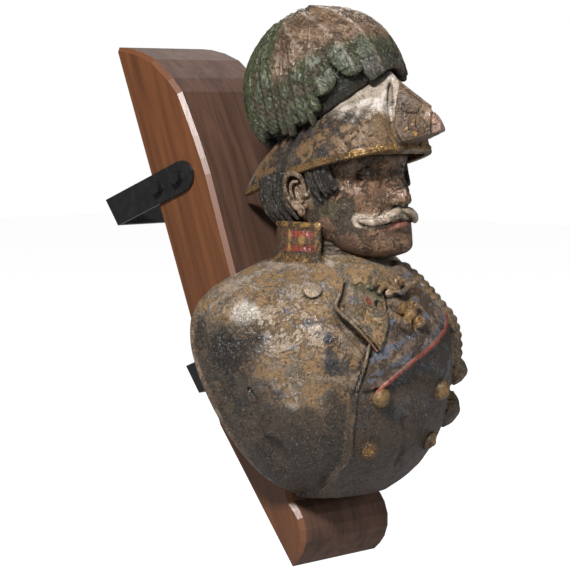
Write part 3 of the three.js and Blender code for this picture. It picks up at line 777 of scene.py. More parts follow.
def carve_brow(block, sign):
    """A brow carved in short hairs."""
    for k in range(9):
        t = k / 8
        base = np.array((
            sign * (13 + 38 * t), 103 - 17 * t * t - 4 * t, 30 + 7 * math.sin(2.2 * t)
        ))
        tip = base + (sign * 7, -1.5 - 3 * t, 4.5 - 7 * t)
        block.add(*rod([base, (base + tip) / 2 + (0, 1.5, 0.6), tip], (2.6, 2.4, 1.4)), blend=1.2)


def carve_ear(block, s):
    """The bowl of the ear, its rim, inner fold, tragus and lobe."""
    block.add(*ball((s * 80, -3, 2), (7, 15, 26)), blend=3)
    rim = [
        (s * 84, 8, -2), (s * 87, 13, 8), (s * 90, 12, 20), (s * 92, 4, 29), (s * 93, -8, 31),
        (s * 93, -17, 24), (s * 92, -20, 12), (s * 90, -17, -2), (s * 88, -11, -14),
        (s * 86, -4, -21)
    ]
    block.add(
        *rod(
            spline(rim, 3),
            np.interp(np.linspace(0, 1, 28), (0, 0.15, 0.5, 0.8, 1), (2.4, 3.6, 4.4, 3.8, 4.2))
        ),
        blend=1
    )
    block.add(*ball((s * 86, -1, -23), (5, 7, 9)), blend=2)
    inner = [
        (s * 89, 3, 18), (s * 91, -6, 18), (s * 91, -11, 8), (s * 89, -9, -6), (s * 87, -3, -12),
        (s * 86, 4, -10)
    ]
    block.add(*rod(spline(inner, 4), 2.6), blend=1.2)
    block.take(*ball((s * 91, -1, 4), (9, 7, 10)), blend=1.5)
    block.take(
        *rod(
            spline([(s * 93, 6, 21), (s * 94, -5, 25), (s * 94, -13, 18), (s * 93, -15, 6)], 4), 1.5
        ),
        blend=1
    )
    block.add(*rod([(s * 83, 12, -3), (s * 87, 8, -5)], 3.6), blend=1.5)


def carve_hair(block, s):
    """Locks at the temple, and over and behind the ear."""
    rng = np.random.default_rng(11 if s < 0 else 12)
    for k in range(4):
        fx = 30 + 9 * k
        lock_of_hair(
            block,
            [
                (s * 84, fx - 6, 34), (s * (86 - k), fx - 4, 16),
                (s * (84 - 2 * k), fx - 1 + 3 * (k % 2), 0), (s * (80 - 2 * k), fx + 4, -16 + 5 * k)
            ],
            (7, 6.5, 5.5, 2.2),
            5,
            rng.integers(1000),
        )
    for k in range(5):
        fb = -26 - 15 * k
        wide = 84 - 3 * k - (k > 2) * 6 * (k - 2)
        lock_of_hair(
            block,
            [
                (s * wide, fb, 34), (s * (wide + 1), fb - 3 + 3 * (k % 2), 12),
                (s * (wide - 2), fb + 1, -10), (s * (wide - 9), fb + 7, -32 - 3 * (k % 2))
            ],
            (8, 8, 7, 3),
            6,
            rng.integers(1000),
        )


def carve_moustache(block, s):
    """A full wing that droops, then lifts to a thin tip, carved in strands."""
    wing = spline(np.array(MOUSTACHE) * (s, 1, 1), 5)
    size = np.interp(np.linspace(0, 1, len(wing)), (0, 0.2, 0.5, 0.8, 1), (3.5, 6, 7.5, 5.5, 2))
    block.add(*rod(wing, size * 0.85), blend=1.5)
    way = np.gradient(wing, axis=0)
    way /= np.linalg.norm(way, axis=1)[:, None]
    for k in range(9):
        turn = math.radians(-80 + 20 * k)
        drift = turn + 0.5 * (np.linspace(0, 1, len(wing)) - 0.3)
        face = np.array((s * 0.45, 0.9, 0.0))
        over = np.cross(way, face)
        over = over / np.linalg.norm(over, axis=1)[:, None] * -s
        offset = np.cos(drift)[:, None] * face + np.sin(drift)[:, None] * over
        start = 2 if k in (0, 8) else 0
        block.add(
            *rod(
                (wing + offset * (size * 0.72)[:, None])[start:],
                np.maximum(size * 0.24, 0.9)[start:]
            ),
            blend=0.4
        )


def carve_head(step):
    block = Block((-104, -112, -122), (104, 140, 72), step)
    x, f, u = np.meshgrid(*block.axes, indexing="ij", sparse=True)
    middle, half, front, back = [c[None, None, :] for c in along(HEAD, block.axes[2])]
    ahead = f > middle
    depth = np.where(ahead, front, back)
    full = np.sqrt(np.maximum((x / half) ** 2 + ((f - middle) / depth) ** 2, 1e-6))
    block.d = np.sqrt(x * x + (f - middle) ** 2) * (1 - 1 / full)
    block.d = soft_max(block.d, HEAD[0][0] - u, 4)
    block.d = soft_max(block.d, u - 66, 4)
    block.even_out()
    facing = smooth_step(middle + 10, middle + 40, f)
    block.d = block.d - face_lift(x, u) * facing
    for sign in (-1, 1):
        carve_eye(block, sign)
        # wing of the nose and nostril
        block.add(*ball((sign * 12, 107, -31), (8, 10, 7.5)), blend=3)
        block.take(*ball((sign * 7.5, 115, -38), (4, 7, 3.2)), blend=1.5)
        carve_brow(block, sign)
        # corner of the mouth
        block.take(*ball((sign * 25, 96, -60), (3, 4, 2)), blend=3)

        carve_ear(block, sign)
        carve_hair(block, sign)
        carve_moustache(block, sign)
    # back of the head under the hat: a queue of long locks
    rng = np.random.default_rng(21)
    for k in range(7):
        bx = -42 + 14 * k
        lock_of_hair(
            block,
            [
                (bx, -90 + 0.012 * bx * bx, 34), (bx * 1.02, -92 + 0.012 * bx * bx, 8),
                (bx * 0.95, -84 + 0.012 * bx * bx, -16), (bx * 0.85, -70 + 0.01 * bx * bx, -38)
            ],
            (8, 8, 7, 3),
            6,
            rng.integers(1000),
        )
    # lips
    block.take(
        *rod(
            spline(
                [
                    (-24, 97, -60), (-10, 105.5, -59), (0, 107, -59.5), (10, 105.5, -59),
                    (24, 97, -60)
                ],
                4
            ),
            1.2
        ),
        blend=2
    )
    return block


# ---------------------------------------------------------------- hat


def hat_arch(x, u, half, brim, top):
    """Distance from the hat's arched cross-section, negative inside it."""
    rise = np.clip((u - brim) / (top - brim), -0.5, 1.2)
    width = half * (1 - rise * np.abs(rise))
    slope = 2 * half * np.abs(rise) / (top - brim)
    return (np.abs(x) - width) / np.sqrt(1 + slope * slope)


def flap_spot(sign, forward, share, lift=0.0):
    """A place on a side flap: share goes from its lower edge (0) to the ridge (1)."""
    half, brim, top, _ = along(HAT, forward)
    up = brim + (top - brim) * share
    return (sign * ((half + lift) * (1 - share * share)), float(forward), float(up))


def carve_hat(step):
    block = Block((-104, -196, 8), (104, 212, 162), step)
    x, f, u = np.meshgrid(*block.axes, indexing="ij", sparse=True)
    half, brim, top, lean = [c[None, :, None] for c in along(HAT, block.axes[1])]
    rise = np.clip((u - brim) / (top - brim), 0, 1)
    outer = hat_arch(x, u, half, brim, top)
    outer = soft_max(outer, brim - u, 2)
    ends = np.maximum(HAT[0][0] - f, f - (HAT[-1][0] - lean * rise))
    outer = soft_max(outer, ends, 3)
    inner = hat_arch(x, u, np.maximum(half - 11, 6), brim - 6, top)
    inner = soft_max(inner, u - (brim + 22), 3)
    inner = soft_max(inner, np.maximum(HAT[0][0] + 12 - f, f - 118), 3)
    block.d = soft_max(outer, -inner, 1.5)
    behind = 0.825 * (u - HAT_BACK[1]) - 0.566 * (f - HAT_BACK[0])
    block.d = soft_max(block.d, behind + 0 * x, 3)

    # the beak between the side flaps
    b_half, b_brim, b_top = [c[None, :, None] for c in along(HAT_BEAK, block.axes[1])]
    beak = hat_arch(x, u, b_half, b_brim, b_top)
    beak = soft_max(beak, b_brim - u, 2)
    beak = soft_max(beak, np.maximum(108 - f, f - HAT_BEAK[-1][0]), 2)
    block.d = soft_min(block.d, beak, 1)
    # channel between flap and beak, and the flap's raised front edge
    for s in (-1, 1):
        edge = [
            (s * 24, 139, 38), (s * 33, 134, 60), (s * 30, 131, 82), (s * 22, 127, 106),
            (s * 12, 122, 128)
        ]
        block.take(*rod([np.array(p) + (s * -3, 7, 0) for p in spline(edge, 4)], 4), blend=1.5)
        block.add(*rod(spline(edge, 4), 3.6), blend=1.5)
        # gold lace along the flap's lower edge
        lace = [
            flap_spot(s, fo, 0.05, 0.8)
            for fo in (-140, -120, -92, -60, -27, 0, 13, 35, 55, 72, 86, 98, 110, 119, 127, 134)
        ]
        block.add(*rod(lace, 2.6, flat=0.5, facing=(s, 0.25, 0)), blend=0.6)
        block.add(*rod([np.array(p) + (0, 0, -4) for p in lace], 1.7), blend=0.6)
        # a long split in the flap
        split = [
            flap_spot(s, fo, sh)
            for fo, sh in ((20, 0.62), (40, 0.56), (58, 0.6), (76, 0.66), (92, 0.7))
        ]
        block.take(*rod(spline(split, 4), 1.3), blend=0.6)
        # strap on the beak with its lace edges, loop and holes
        strap = [(s * 22, 152, 52), (s * 20.5, 153, 66), (s * 17, 154, 84)]
        block.add(*rod(strap, 3, flat=0.6, facing=(s, 0.3, 0)), blend=0.6)
        block.add(*rod([(s * 21.5, 154, 51), (s * 15, 172, 52), (s * 12, 184, 54)], 3), blend=0.6)
        block.add(*rod([(s * 16, 156, 88), (s * 11.5, 170, 84)], 3.2), blend=1)
        block.take(*ball((s * 13.5, 158, 90), 3.2), blend=0.6)
        block.take(*ball((s * 9, 171, 85), 2.8), blend=0.6)
        for k in range(3):
            block.take(*ball((s * (11 - 2 * k), 150 + 9 * k, 108 - 7 * k), 1.8), blend=0.5)
        block.take(*rod([(s * 18, 160, 60), (s * 15.5, 160, 78)], 2), blend=1)
        block.take(*rod([(s * 14, 169, 60), (s * 12, 169, 76)], 1.6), blend=1)
    # ridge of the beak, the crack across it and the repaired tip
    block.add(
        *rod([(0, 124, 140), (0, 140, 130), (0, 155, 116), (0, 171, 101), (0, 188, 86)], 2.6),
        blend=1.2
    )
    cut, (x, f, u) = block.within((-30, 180, 40), (30, 200, 100))
    slab = np.abs(f - 190.5 - 0.04 * (u - 60)) - 0.9 + 0 * x
    block.d[cut] = soft_max(block.d[cut], -np.maximum(slab, -2.5 - block.d[cut]), 0.3)
    return block


# ---------------------------------------------------------------- meshes


def to_frame(points):
    return (points - WALL_PLATE_CENTRE) / 1000


def mesh_of(name, points, faces, smooth=True):
    mesh = bpy.data.meshes.new(name)
    mesh.vertices.add(len(points))
    mesh.vertices.foreach_set("co", np.asarray(points, F32).ravel())
    sides = faces.shape[1]
    mesh.loops.add(faces.size)
    mesh.loops.foreach_set("vertex_index", faces.astype(np.int32).ravel())
    mesh.polygons.add(len(faces))
    mesh.polygons.foreach_set("loop_start", np.arange(0, faces.size, sides, dtype=np.int32))
    mesh.update(calc_edges=True)
    mesh.validate()
    if smooth:
        mesh.polygons.foreach_set("use_smooth", np.ones(len(mesh.polygons), bool))
    obj = bpy.data.objects.new(name, mesh)
    bpy.context.scene.collection.objects.link(obj)
    return obj


def thin_out(obj, most):
    """Brings a mesh under a number of triangles, where it is flattest first."""
    count = sum(len(p.vertices) - 2 for p in obj.data.polygons)
    if count <= most:
        return
    modifier = obj.modifiers.new("thin", "DECIMATE")
    modifier.ratio = most / count
    graph = bpy.context.evaluated_depsgraph_get()
    mesh = bpy.data.meshes.new_from_object(obj.evaluated_get(graph))
    obj.modifiers.clear()
    old, obj.data = obj.data, mesh
    bpy.data.meshes.remove(old)
    obj.data.polygons.foreach_set("use_smooth", np.ones(len(obj.data.polygons), bool))


def corners_of(obj):
    co = np.empty(len(obj.data.vertices) * 3, F32)
    obj.data.vertices.foreach_get("co", co)
    return co.reshape(-1, 3)


def normals_of(obj):
    n = np.empty(len(obj.data.vertices) * 3, F32)
    obj.data.vertex_normals.foreach_get("vector", n)
    return n.reshape(-1, 3)


def set_colour(obj, name, colours):
    attribute = obj.data.attributes.new(name, "FLOAT_COLOR", "POINT")
    full = np.ones((len(obj.data.vertices), 4), F32)
    full[:, :3] = colours
    attribute.data.foreach_set("color", full.ravel())


def set_value(obj, name, values):
    attribute = obj.data.attributes.new(name, "FLOAT", "POINT")
    attribute.data.foreach_set("value", np.asarray(values, F32))


def hollowness(block, points, normals, reach):
    """How shut in each point of a surface is, 0 in the open to 1 deep in a groove."""
    shut = 0
    for k, share in ((0.35, 0.4), (1.0, 0.6)):
        away = reach * k
        shut = shut + share * np.clip(1 - block.at(points + normals * away) / away, 0, 1)
    return shut


def fit(piece, node):
    """Puts a piece in place of a node of the frame: hangs it on the root and hides the node."""
    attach(piece, "root")
    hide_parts(node)


# ---------------------------------------------------------------- colours

OCHRE = (0.24, 0.145, 0.065)
TAN = (0.27, 0.19, 0.12)
DUST_AND_TOP_LIGHT = (0.32, 0.26, 0.20)
WHITE = (0.72, 0.66, 0.58)
BLUE = (0.12, 0.135, 0.17)
GREY = (0.13, 0.115, 0.095)
BLACK = (0.016, 0.014, 0.012)
BROWN = (0.055, 0.034, 0.021)
DARK_BROWN = (0.045, 0.03, 0.02)
RED = (0.22, 0.04, 0.025)
GOLD = (0.34, 0.19, 0.055)
FLESH = (0.19, 0.10, 0.055)
FLESH_DARK = (0.05, 0.03, 0.017)
GREEN = (0.045, 0.05, 0.025)
MOSS = (0.05, 0.066, 0.028)
IVORY = (0.40, 0.31, 0.225)


def blank(count, colour):
    return np.tile(np.array(colour, F32), (count, 1))


def lay(paint, colour, weight):
    """Mixes a colour into a paint layer where weight is near 1."""
    w = np.clip(weight, 0, 1)[:, None]
    paint[:] = paint * (1 - w) + np.array(colour, F32) * w


def near_point(p, centre, radius):
    away = np.linalg.norm((p - np.array(centre, F32)) / np.array(radius, F32), axis=1)
    return smooth_step(1.15, 0.6, away)


def near_line(p, line, radius, soft=1.0):
    line = np.array(line, F32)
    best = np.full(len(p), 1e9, F32)
    for a, b in zip(line[:-1], line[1:]):
        ab = b - a
        t = np.clip(((p - a) @ ab) / (ab @ ab), 0, 1)
        best = np.minimum(best, np.linalg.norm(p - a - t[:, None] * ab, axis=1))
    return smooth_step(radius + soft, radius - soft, best)


def spots(p, sizes, seed):
    """Noise at some points, in each of three sizes of spot."""
    return [Noise(size, seed + k)(*p.T) for k, size in enumerate(sizes)]


def store_paint(obj, over, under, bare, shade, gilt):
    """Keeps the two layers of paint, and how worn, shut in and gilded each point is."""
    set_colour(obj, "over", over)
    set_colour(obj, "under", under)
    set_value(obj, "bare", bare)
    set_value(obj, "shade", shade)
    set_value(obj, "gilt", gilt)


# Where the near shoulder has its painted highlight, palest, and where it is worn darkest.
HIGHLIGHT_SPOT, DARK_SPOT = (-189, -100, -22), (-208, -86, -68)


def paint_bust(obj, block):
    p = corners_of(obj)
    n = normals_of(obj)
    count = len(p)
    x, y, z = p.T
    shade = hollowness(block, p, n, 9)
    b, m, s = spots(p, (46, 19, 8), 51)
    over = blank(count, TAN)
    under = blank(count, OCHRE)
    bare = np.full(count, 0.45, F32)
    lay(over, BLUE, smooth_step(0.0, 0.5, m + 0.5 * s + 0.25 * b))
    lay(over, DUST_AND_TOP_LIGHT, smooth_step(0.05, 0.5, b + 0.3 * m) * 0.8)
    lay(under, GREY, smooth_step(0.1, 0.6, -m + 0.4 * s) * 0.8)
    # painted light and shade: lighter on top, where the light falls, and darker low down, where
    # shade falls and the paint is also more worn; darker at the back
    lay(over, DUST_AND_TOP_LIGHT, smooth_step(-30, 30, z) * 0.65)
    low = smooth_step(-135, -205, z + 40 * b + 22 * m)
    lay(over, BROWN, low * 0.85)
    lay(under, DARK_BROWN, low * 0.8)
    side = smooth_step(-176, -205, x + 12 * b) * smooth_step(-10, -60, z)
    lay(over, BLACK, side * 0.9)
    lay(under, DARK_BROWN, side * 0.8)
    lay(over, BLACK, smooth_step(0.15, 0.6, m + 0.4 * s - 0.5 * b) * smooth_step(10, -60, z) * 0.8)
    # painted highlight: white on the near shoulder, where the light falls strongest
    lay(over, WHITE, near_point(p, HIGHLIGHT_SPOT, (26, 26, 20)) * (0.55 + 0.45 * m))
    lay(under, WHITE, near_point(p, HIGHLIGHT_SPOT, (22, 22, 16)) * 0.8)
    dark_patch = near_point(p, DARK_SPOT, (26, 34, 34)) * smooth_step(-0.5, 0.2, m + 0.5 * s)
    lay(over, BLACK, dark_patch)
    lay(under, BLACK, dark_patch * 0.7)
    # front panel, dark blue-grey with brown flecks
    inside = outline_distance(FRONT_PANEL, x, z)
    panel = smooth_step(2, -2, inside) * (y < -120)
    lay(over, (0.05, 0.046, 0.048), panel * 0.9)
    lay(under, BROWN, panel * 0.9)
    lay(over, BLUE, panel * smooth_step(-0.2, 0.5, m) * smooth_step(-170, -70, z) * 0.7)
    below = (x < -60) * smooth_step(
        -120, -160, z + 26 * m + 22 * b
    ) * smooth_step(-205, -160, x) * (1 - panel) * (y < -90)
    lay(over, (0.10, 0.07, 0.05), below * 0.9)
    lay(under, DARK_BROWN, below * 0.9)
    # lapels
    far = smooth_step(1.5, -1.5, outline_distance(FAR_LAPEL, x, z)) * (y < -150)
    lay(over, (0.16, 0.11, 0.08), far)
    lay(over, BLUE, far * smooth_step(0.0, 0.5, np.sin((x * 0.5 - z) * 0.22) + 0.8 * m))
    lay(over, TAN, far * smooth_step(0.2, 0.6, s + 0.5 * m))
    lapel = smooth_step(1.5, -1.5, outline_distance(NEAR_LAPEL, x, z)) * (y < -140)
    lay(over, (0.17, 0.125, 0.08), lapel)
    lay(over, GREEN, lapel * smooth_step(-0.1, 0.4, m) * 0.8)
    lay(over, BLUE, lapel * smooth_step(0.2, 0.6, b) * 0.7)
    lay(over, BLUE, near_point(p, chest(-90, -13, 12)[0], 9))
    lay(over, RED, near_point(p, chest(-74, -14, 14)[0], (5, 8, 9)))
    hem = near_line(
        p,
        on_chest(
            spline([(-66, 40), (-84, 16), (-100, -4), (-113, -21), (-101, -46), (-84, -72)], 4),
            13.5
        ),
        3.4
    )
    lay(over, (0.24, 0.09, 0.065), hem * smooth_step(-0.5, 0.2, m))
    lay(over, (0.28, 0.20, 0.14), near_line(p, on_chest(spline(COAT_EDGE, 4), 8), 3.6))
    piping = near_line(p, on_chest(spline(PIPING, 4), 11), 3.6)
    lay(over, RED, piping)
    lay(under, (0.20, 0.05, 0.035), piping)
    gilt = np.zeros(count, F32)
    for bx, bz, radius, height in BUTTONS:
        gilt = np.maximum(
            gilt, near_point(p, chest(bx, bz, 6)[0], radius + 3) * (0.9 if height > 6 else 0.25)
        )
    gilt = np.maximum(gilt, near_point(p, chest(-26, -32, 16)[0], (26, 22, 26)) * 0.75)
    gilt = np.maximum(gilt, near_point(p, chest(-26, 6, 18)[0], (42, 22, 14)) * 0.5)
    lay(over, GOLD, gilt)
    lay(under, (0.16, 0.09, 0.04), gilt)
    cords = near_line(p, on_chest(CORD_ROUTE, 8), 14) + near_point(
        p, chest(130, -152, 8)[0], (36, 32, 54)
    )
    lay(over, (0.17, 0.11, 0.065), cords * 0.9)
    # collar
    angle = np.degrees(np.arctan2(np.abs(x), -(y - NECK_CENTRE_Y)))
    ring = np.sqrt((x / COLLAR["half"]) ** 2 + ((y - NECK_CENTRE_Y) / COLLAR["depth"]) ** 2)
    collar = (z > 43) * (angle > COLLAR["opening"] - 3) * (ring > 0.93)
    lay(over, (0.12, 0.065, 0.035), collar * 1.0)
    lay(under, DARK_BROWN, collar * 0.8)
    tab = collar * (np.abs(np.abs(z - 73) - 10) < 4.5) * (np.abs(angle - 84) < 18)
    lay(over, RED, tab * 1.0)
    lace = collar * ((z > 93) | (angle < COLLAR["opening"] + 5) | (np.abs(z - 49) < 5))
    lay(over, (0.27, 0.155, 0.06), lace * 1.0)
    lay(over, GOLD, lace * smooth_step(-0.1, 0.5, m))
    lay(over, GOLD, collar * (np.abs(y + 88) < 3) * (z > 56) * (z < 90) * 0.8)
    lay(
        over, GOLD,
        near_point(p, (-84, -112, 74), (7, 8, 10)) + near_point(p, (84, -112, 74), (7, 8, 10))
    )
    throat = (z > 34) * (ring < 0.94) * (y < -60)
    lay(over, (0.12, 0.085, 0.06), throat * 0.95)
    lay(under, DARK_BROWN, throat * 0.9)
    # the cut back and its pale rim
    plane = y - (BOARD_FRONT[0] + BOARD_FRONT[1] * z)
    rim = smooth_step(-17, -12, plane + 2 * m)
    lay(over, (0.30, 0.20, 0.125), rim * 0.9)
    lay(under, (0.13, 0.08, 0.05), rim * 0.9)
    flat = smooth_step(-3, -1.5, plane)
    lay(over, (0.16, 0.10, 0.065), flat)
    lay(under, (0.11, 0.07, 0.045), flat)
    bare = 0.45 + 0.10 * b + 0.16 * low - 0.25 * gilt - 0.15 * piping - 0.2 * tab + 0.1 * below
    store_paint(obj, over, under, bare, shade, np.clip(gilt + lace * 0.6, 0, 1))


def paint_head(obj, block):
    """Works in the head frame, before the mesh is turned into the bust's frame."""
    p = corners_of(obj)
    n = normals_of(obj)
    count = len(p)
    x, f, u = p.T
    ax = np.abs(x)
    shade = hollowness(block, p, n, 7)
    b, m, s = spots(p, (26, 11, 5), 61)
    over = blank(count, FLESH)
    under = blank(count, FLESH_DARK)
    lay(over, (0.34, 0.20, 0.12), smooth_step(0.1, 0.6, m + 0.4 * s) * 0.7)
    lay(over, GREEN, smooth_step(0.0, 0.5, b + 0.4 * m + 0.2) * smooth_step(38, 60, ax) * 0.85)
    lay(over, DARK_BROWN, smooth_step(0.15, 0.6, -b + 0.4 * s) * 0.5)
    # painted shade: darker high on the head, under the hat
    lay(over, BLACK, smooth_step(22, 36, u) * 0.6)
    ear = near_point(p, (-88, -2, 4), (16, 26, 36)) + near_point(p, (88, -2, 4), (16, 26, 36))
    lay(over, (0.30, 0.20, 0.13), ear * (ax > 76))
    temple = (ax > 76 - 0.12 * (f - 20)) * (ax + 0.25 * f > 60) * (f > 16) * (f < 72) * (u > -46)
    temple = temple * (ax > 60) * (1 - np.clip(ear * (ax > 76), 0, 1))
    behind = (f < -14) * (ax < 100) * (u > -44) * (1 - np.clip(ear * (ax > 82), 0, 1))
    hair = temple + behind
    hair = np.clip(hair, 0, 1)
    # dark hair, made darker still as painted shade under the hat
    lay(over, (0.03, 0.026, 0.02), hair)
    lay(over, (0.12, 0.10, 0.075), hair * smooth_step(0.3, 0.8, s + 0.5 * m))
    lay(under, BLACK, hair * 0.8)
    wing = np.array(MOUSTACHE)
    bristle = np.maximum(near_line(p, wing, 11.5, 1.5), near_line(p, wing * (-1, 1, 1), 11.5, 1.5))
    lay(over, IVORY, bristle)
    lay(over, (0.62, 0.52, 0.42), bristle * smooth_step(0.1, 0.7, s + 0.5 * m))
    lay(under, (0.12, 0.085, 0.055), bristle)
    brow = np.maximum(
        near_line(p, [(13, 103, 31), (30, 99, 37), (52, 84, 32)], 6),
        near_line(p, [(-13, 103, 31), (-30, 99, 37), (-52, 84, 32)], 6),
    )
    lay(over, (0.16, 0.10, 0.06), brow * 0.8)
    for sign in (-1, 1):
        eye = near_point(p, (sign * 31, 84, 11), (13, 10, 7))
        lay(over, (0.42, 0.36, 0.28), eye * 0.9)
        iris = near_point(p, (sign * 30, 92, 11.5), (5.5, 4, 5.5))
        lay(over, (0.03, 0.035, 0.04), iris)
    lips = near_line(p, [(-20, 101, -65), (0, 108, -65), (20, 101, -65)], 4.5)
    lay(over, (0.34, 0.12, 0.085), lips * 0.7)
    store_paint(obj, over, under, 0.42 + 0.12 * b - 0.1 * bristle, shade, 0 * x)


def paint_hat(obj, block):
    p = corners_of(obj)
    n = normals_of(obj)
    count = len(p)
    _, f, u = p.T
    shade = hollowness(block, p, n, 7)
    b, m, s = spots(p, (30, 12, 5), 71)
    _, brim, top, _ = along(HAT, f)
    rise = (u - brim) / (top - brim)
    over = blank(count, (0.03, 0.027, 0.024))
    under = blank(count, (0.17, 0.10, 0.048))
    lay(over, (0.10, 0.085, 0.07), smooth_step(0.0, 0.6, m) * 0.6)
    # pale filler beside the plume and towards the front edge
    pale = smooth_step(0.42, 0.72, rise + 0.12 * m + 0.1 * b) * smooth_step(20, 70, f) * (f < 142)
    lay(over, (0.40, 0.33, 0.26), pale)
    lay(under, (0.20, 0.14, 0.09), pale)
    lay(over, (0.62, 0.56, 0.50), pale * smooth_step(0.0, 0.5, b + m))
    lay(over, (0.34, 0.22, 0.12), smooth_step(112, 128, f) * (f < 142) * (1 - pale) * 0.7)
    lace = smooth_step(0.10, 0.07, rise + 0.012 * s) * (u > brim - 3) * (f < 142) * (f > -150)
    lay(over, (0.26, 0.15, 0.06), lace)
    lay(over, GOLD, lace * smooth_step(0.0, 0.5, m))
    lay(under, (0.12, 0.075, 0.035), lace)
    rear = smooth_step(-7, -3, 0.825 * (u - HAT_BACK[1]) - 0.566 * (f - HAT_BACK[0])) * (f < -60)
    lay(over, (0.20, 0.18, 0.15), rear)
    beak = (f > 141) * 1.0
    lay(over, (0.21, 0.13, 0.078), beak)
    lay(under, (0.12, 0.075, 0.045), beak)
    lay(
        over, GOLD,
        near_line(
            p, [(-22, 152, 52), (-17, 154, 84)], 4.5
        ) + near_line(p, [(22, 152, 52), (17, 154, 84)], 4.5)
    )
    lay(
        over, GOLD,
        near_line(
            p, [(-21.5, 154, 51), (-12, 184, 54)], 4.5
        ) + near_line(p, [(21.5, 154, 51), (12, 184, 54)], 4.5)
    )
    tip = smooth_step(189.5, 191, f)
    lay(over, (0.36, 0.22, 0.16), tip)
    lay(under, (0.24, 0.14, 0.10), tip)
    bare = 0.43 + 0.16 * b - 0.1 * lace + 0.08 * beak - 0.2 * pale
    store_paint(obj, over, under, bare, shade, np.clip(lace, 0, 1))


# ---------------------------------------------------------------- plume


def dome_point(turn, fall, lift=0.0):
    """A place on the plume's dome in the head frame: turn from the front, fall from the crest."""
    turn, fall, lift = np.broadcast_arrays(np.asarray(turn, float), fall, lift)
    angle = np.minimum(1, fall / 0.68) * math.pi / 2
    skirt = np.maximum(0, (fall - 0.68) / 0.32)
    edge = PLUME_TIPS["side"] + PLUME_TIPS["rise"] * np.maximum(0, np.cos(turn)) ** 2
    girth = np.sin(angle) * (1 - 0.1 * skirt**2)
    rise = (PLUME["height"] + lift) * np.cos(angle) - (PLUME["up"] - edge) * skirt
    reach = PLUME["reach"] * girth + lift * np.sin(angle)
    back = PLUME["lean"] * np.maximum(0, rise)
    return np.stack(
        [
            (PLUME["half"] * girth + lift * np.sin(angle)) * np.sin(turn),
            PLUME["forward"] + reach * np.cos(turn) - back,
            PLUME["up"] + rise,
        ],
        -1,
    )


def tube_faces(count, ring, inside_out=False):
    """Quads of a closed tube of count rings of points, flat across each end."""
    first = np.arange(ring)
    a = (np.arange(count - 1)[:, None] * ring + first).ravel()
    b = (np.arange(count - 1)[:, None] * ring + (first + 1) % ring).ravel()
    sides = np.stack([a, b, b + ring, a + ring], 1)
    caps = []
    for order in (first[::-1], (count - 1) * ring + first):
        for k in range(ring // 2 - 1):
            caps.append((order[k], order[k + 1], order[ring - 2 - k], order[ring - 1 - k]))
    caps = np.array(caps)
    if inside_out:
        sides, caps = sides[:, [1, 0, 3, 2]], caps[:, ::-1]
    return np.vstack([sides, caps])


def feather(route, half_width, thick, barbs, seed, steps=54, across=26, lift=0.0):
    """A feather laid over the dome along a route of (turn, fall) places: a raised quill, two
    vanes cambered to the sides, barbs cut slanting, and a lobed, rounded tip."""
    rng = np.random.default_rng(seed)
    line = spline(route, 12)
    line = line[np.linspace(0, len(line) - 1, steps).round().astype(int)]
    middle = dome_point(line[:, 0], line[:, 1], lift)
    ahead = np.gradient(middle, axis=0)
    ahead /= np.linalg.norm(ahead, axis=1)[:, None] + 1e-9
    core = np.array([0, PLUME["forward"], PLUME["up"]])
    out = middle - core
    low = out[:, 2] < 0
    out[low, 2] = 0
    out = out / np.array([PLUME["half"], PLUME["reach"], PLUME["height"]]) ** 2
    out /= np.linalg.norm(out, axis=1)[:, None]
    side = np.cross(ahead, out)
    side /= np.linalg.norm(side, axis=1)[:, None]
    s = np.linspace(0, 1, steps)
    width = half_width * np.minimum(1, 0.35 + 2.2 * s) * np.sqrt(np.clip(
        1 - ((s - 0.72) / 0.285).clip(0) ** 2.2, 0, 1
    ))
    v = np.linspace(-1, 1, across)
    size = np.linalg.norm(np.gradient(middle, axis=0), axis=1).cumsum()
    phase = (size[:, None] - 1.25 * half_width * np.abs(v)[None, :] ** 0.8) / barbs
    phase = phase + 0.35 * np.sin(size * 0.11 + seed)[:, None]
    groove = np.abs(np.sin(math.pi * phase)) ** 0.7
    camber = 1 - 0.75 * np.abs(v) ** 1.6
    quill = np.exp(-((v / 0.09) ** 2))
    height = thick * (0.25 + 0.75 * camber)[None, :]
    height = height + BARB_DEPTH * (groove - 0.7) * np.abs(v)[None, :] ** 0.35
    height = height + (1.6 * quill)[None, :] * (1 - 0.6 * s)[:, None]
    lobes = 1 + 0.10 * (groove[:, -1:] - 0.5) + 0.04 * rng.uniform(-1, 1, (steps, 1))
    spread = v[None, :] * width[:, None] * lobes
    # flat side offsets are bent down round the dome
    place = middle[:, None, :] + spread[..., None] * side[:, None, :]
    place = place - (spread**2 / (2.1 * PLUME["half"]))[..., None] * out[:, None, :]
    place = place + height[..., None] * out[:, None, :]
    under = middle[:, None, :] + (spread * 0.92)[..., None] * side[:, None, :]
    under = under - (spread**2 / (2.1 * PLUME["half"]) + 5)[..., None] * out[:, None, :]
    rows = np.concatenate([place, under[:, ::-1]], 1)
    # the feather's underside is marked as deepest in a cut, so it gets the most painted shade
    flat_under = np.zeros((steps, across))
    marks = [
        np.concatenate([np.broadcast_to(mark, (steps, across)), flat_under], 1).ravel()
        for mark in (groove, quill)
    ]
    return rows.reshape(-1, 3), tube_faces(steps, rows.shape[1]), *marks


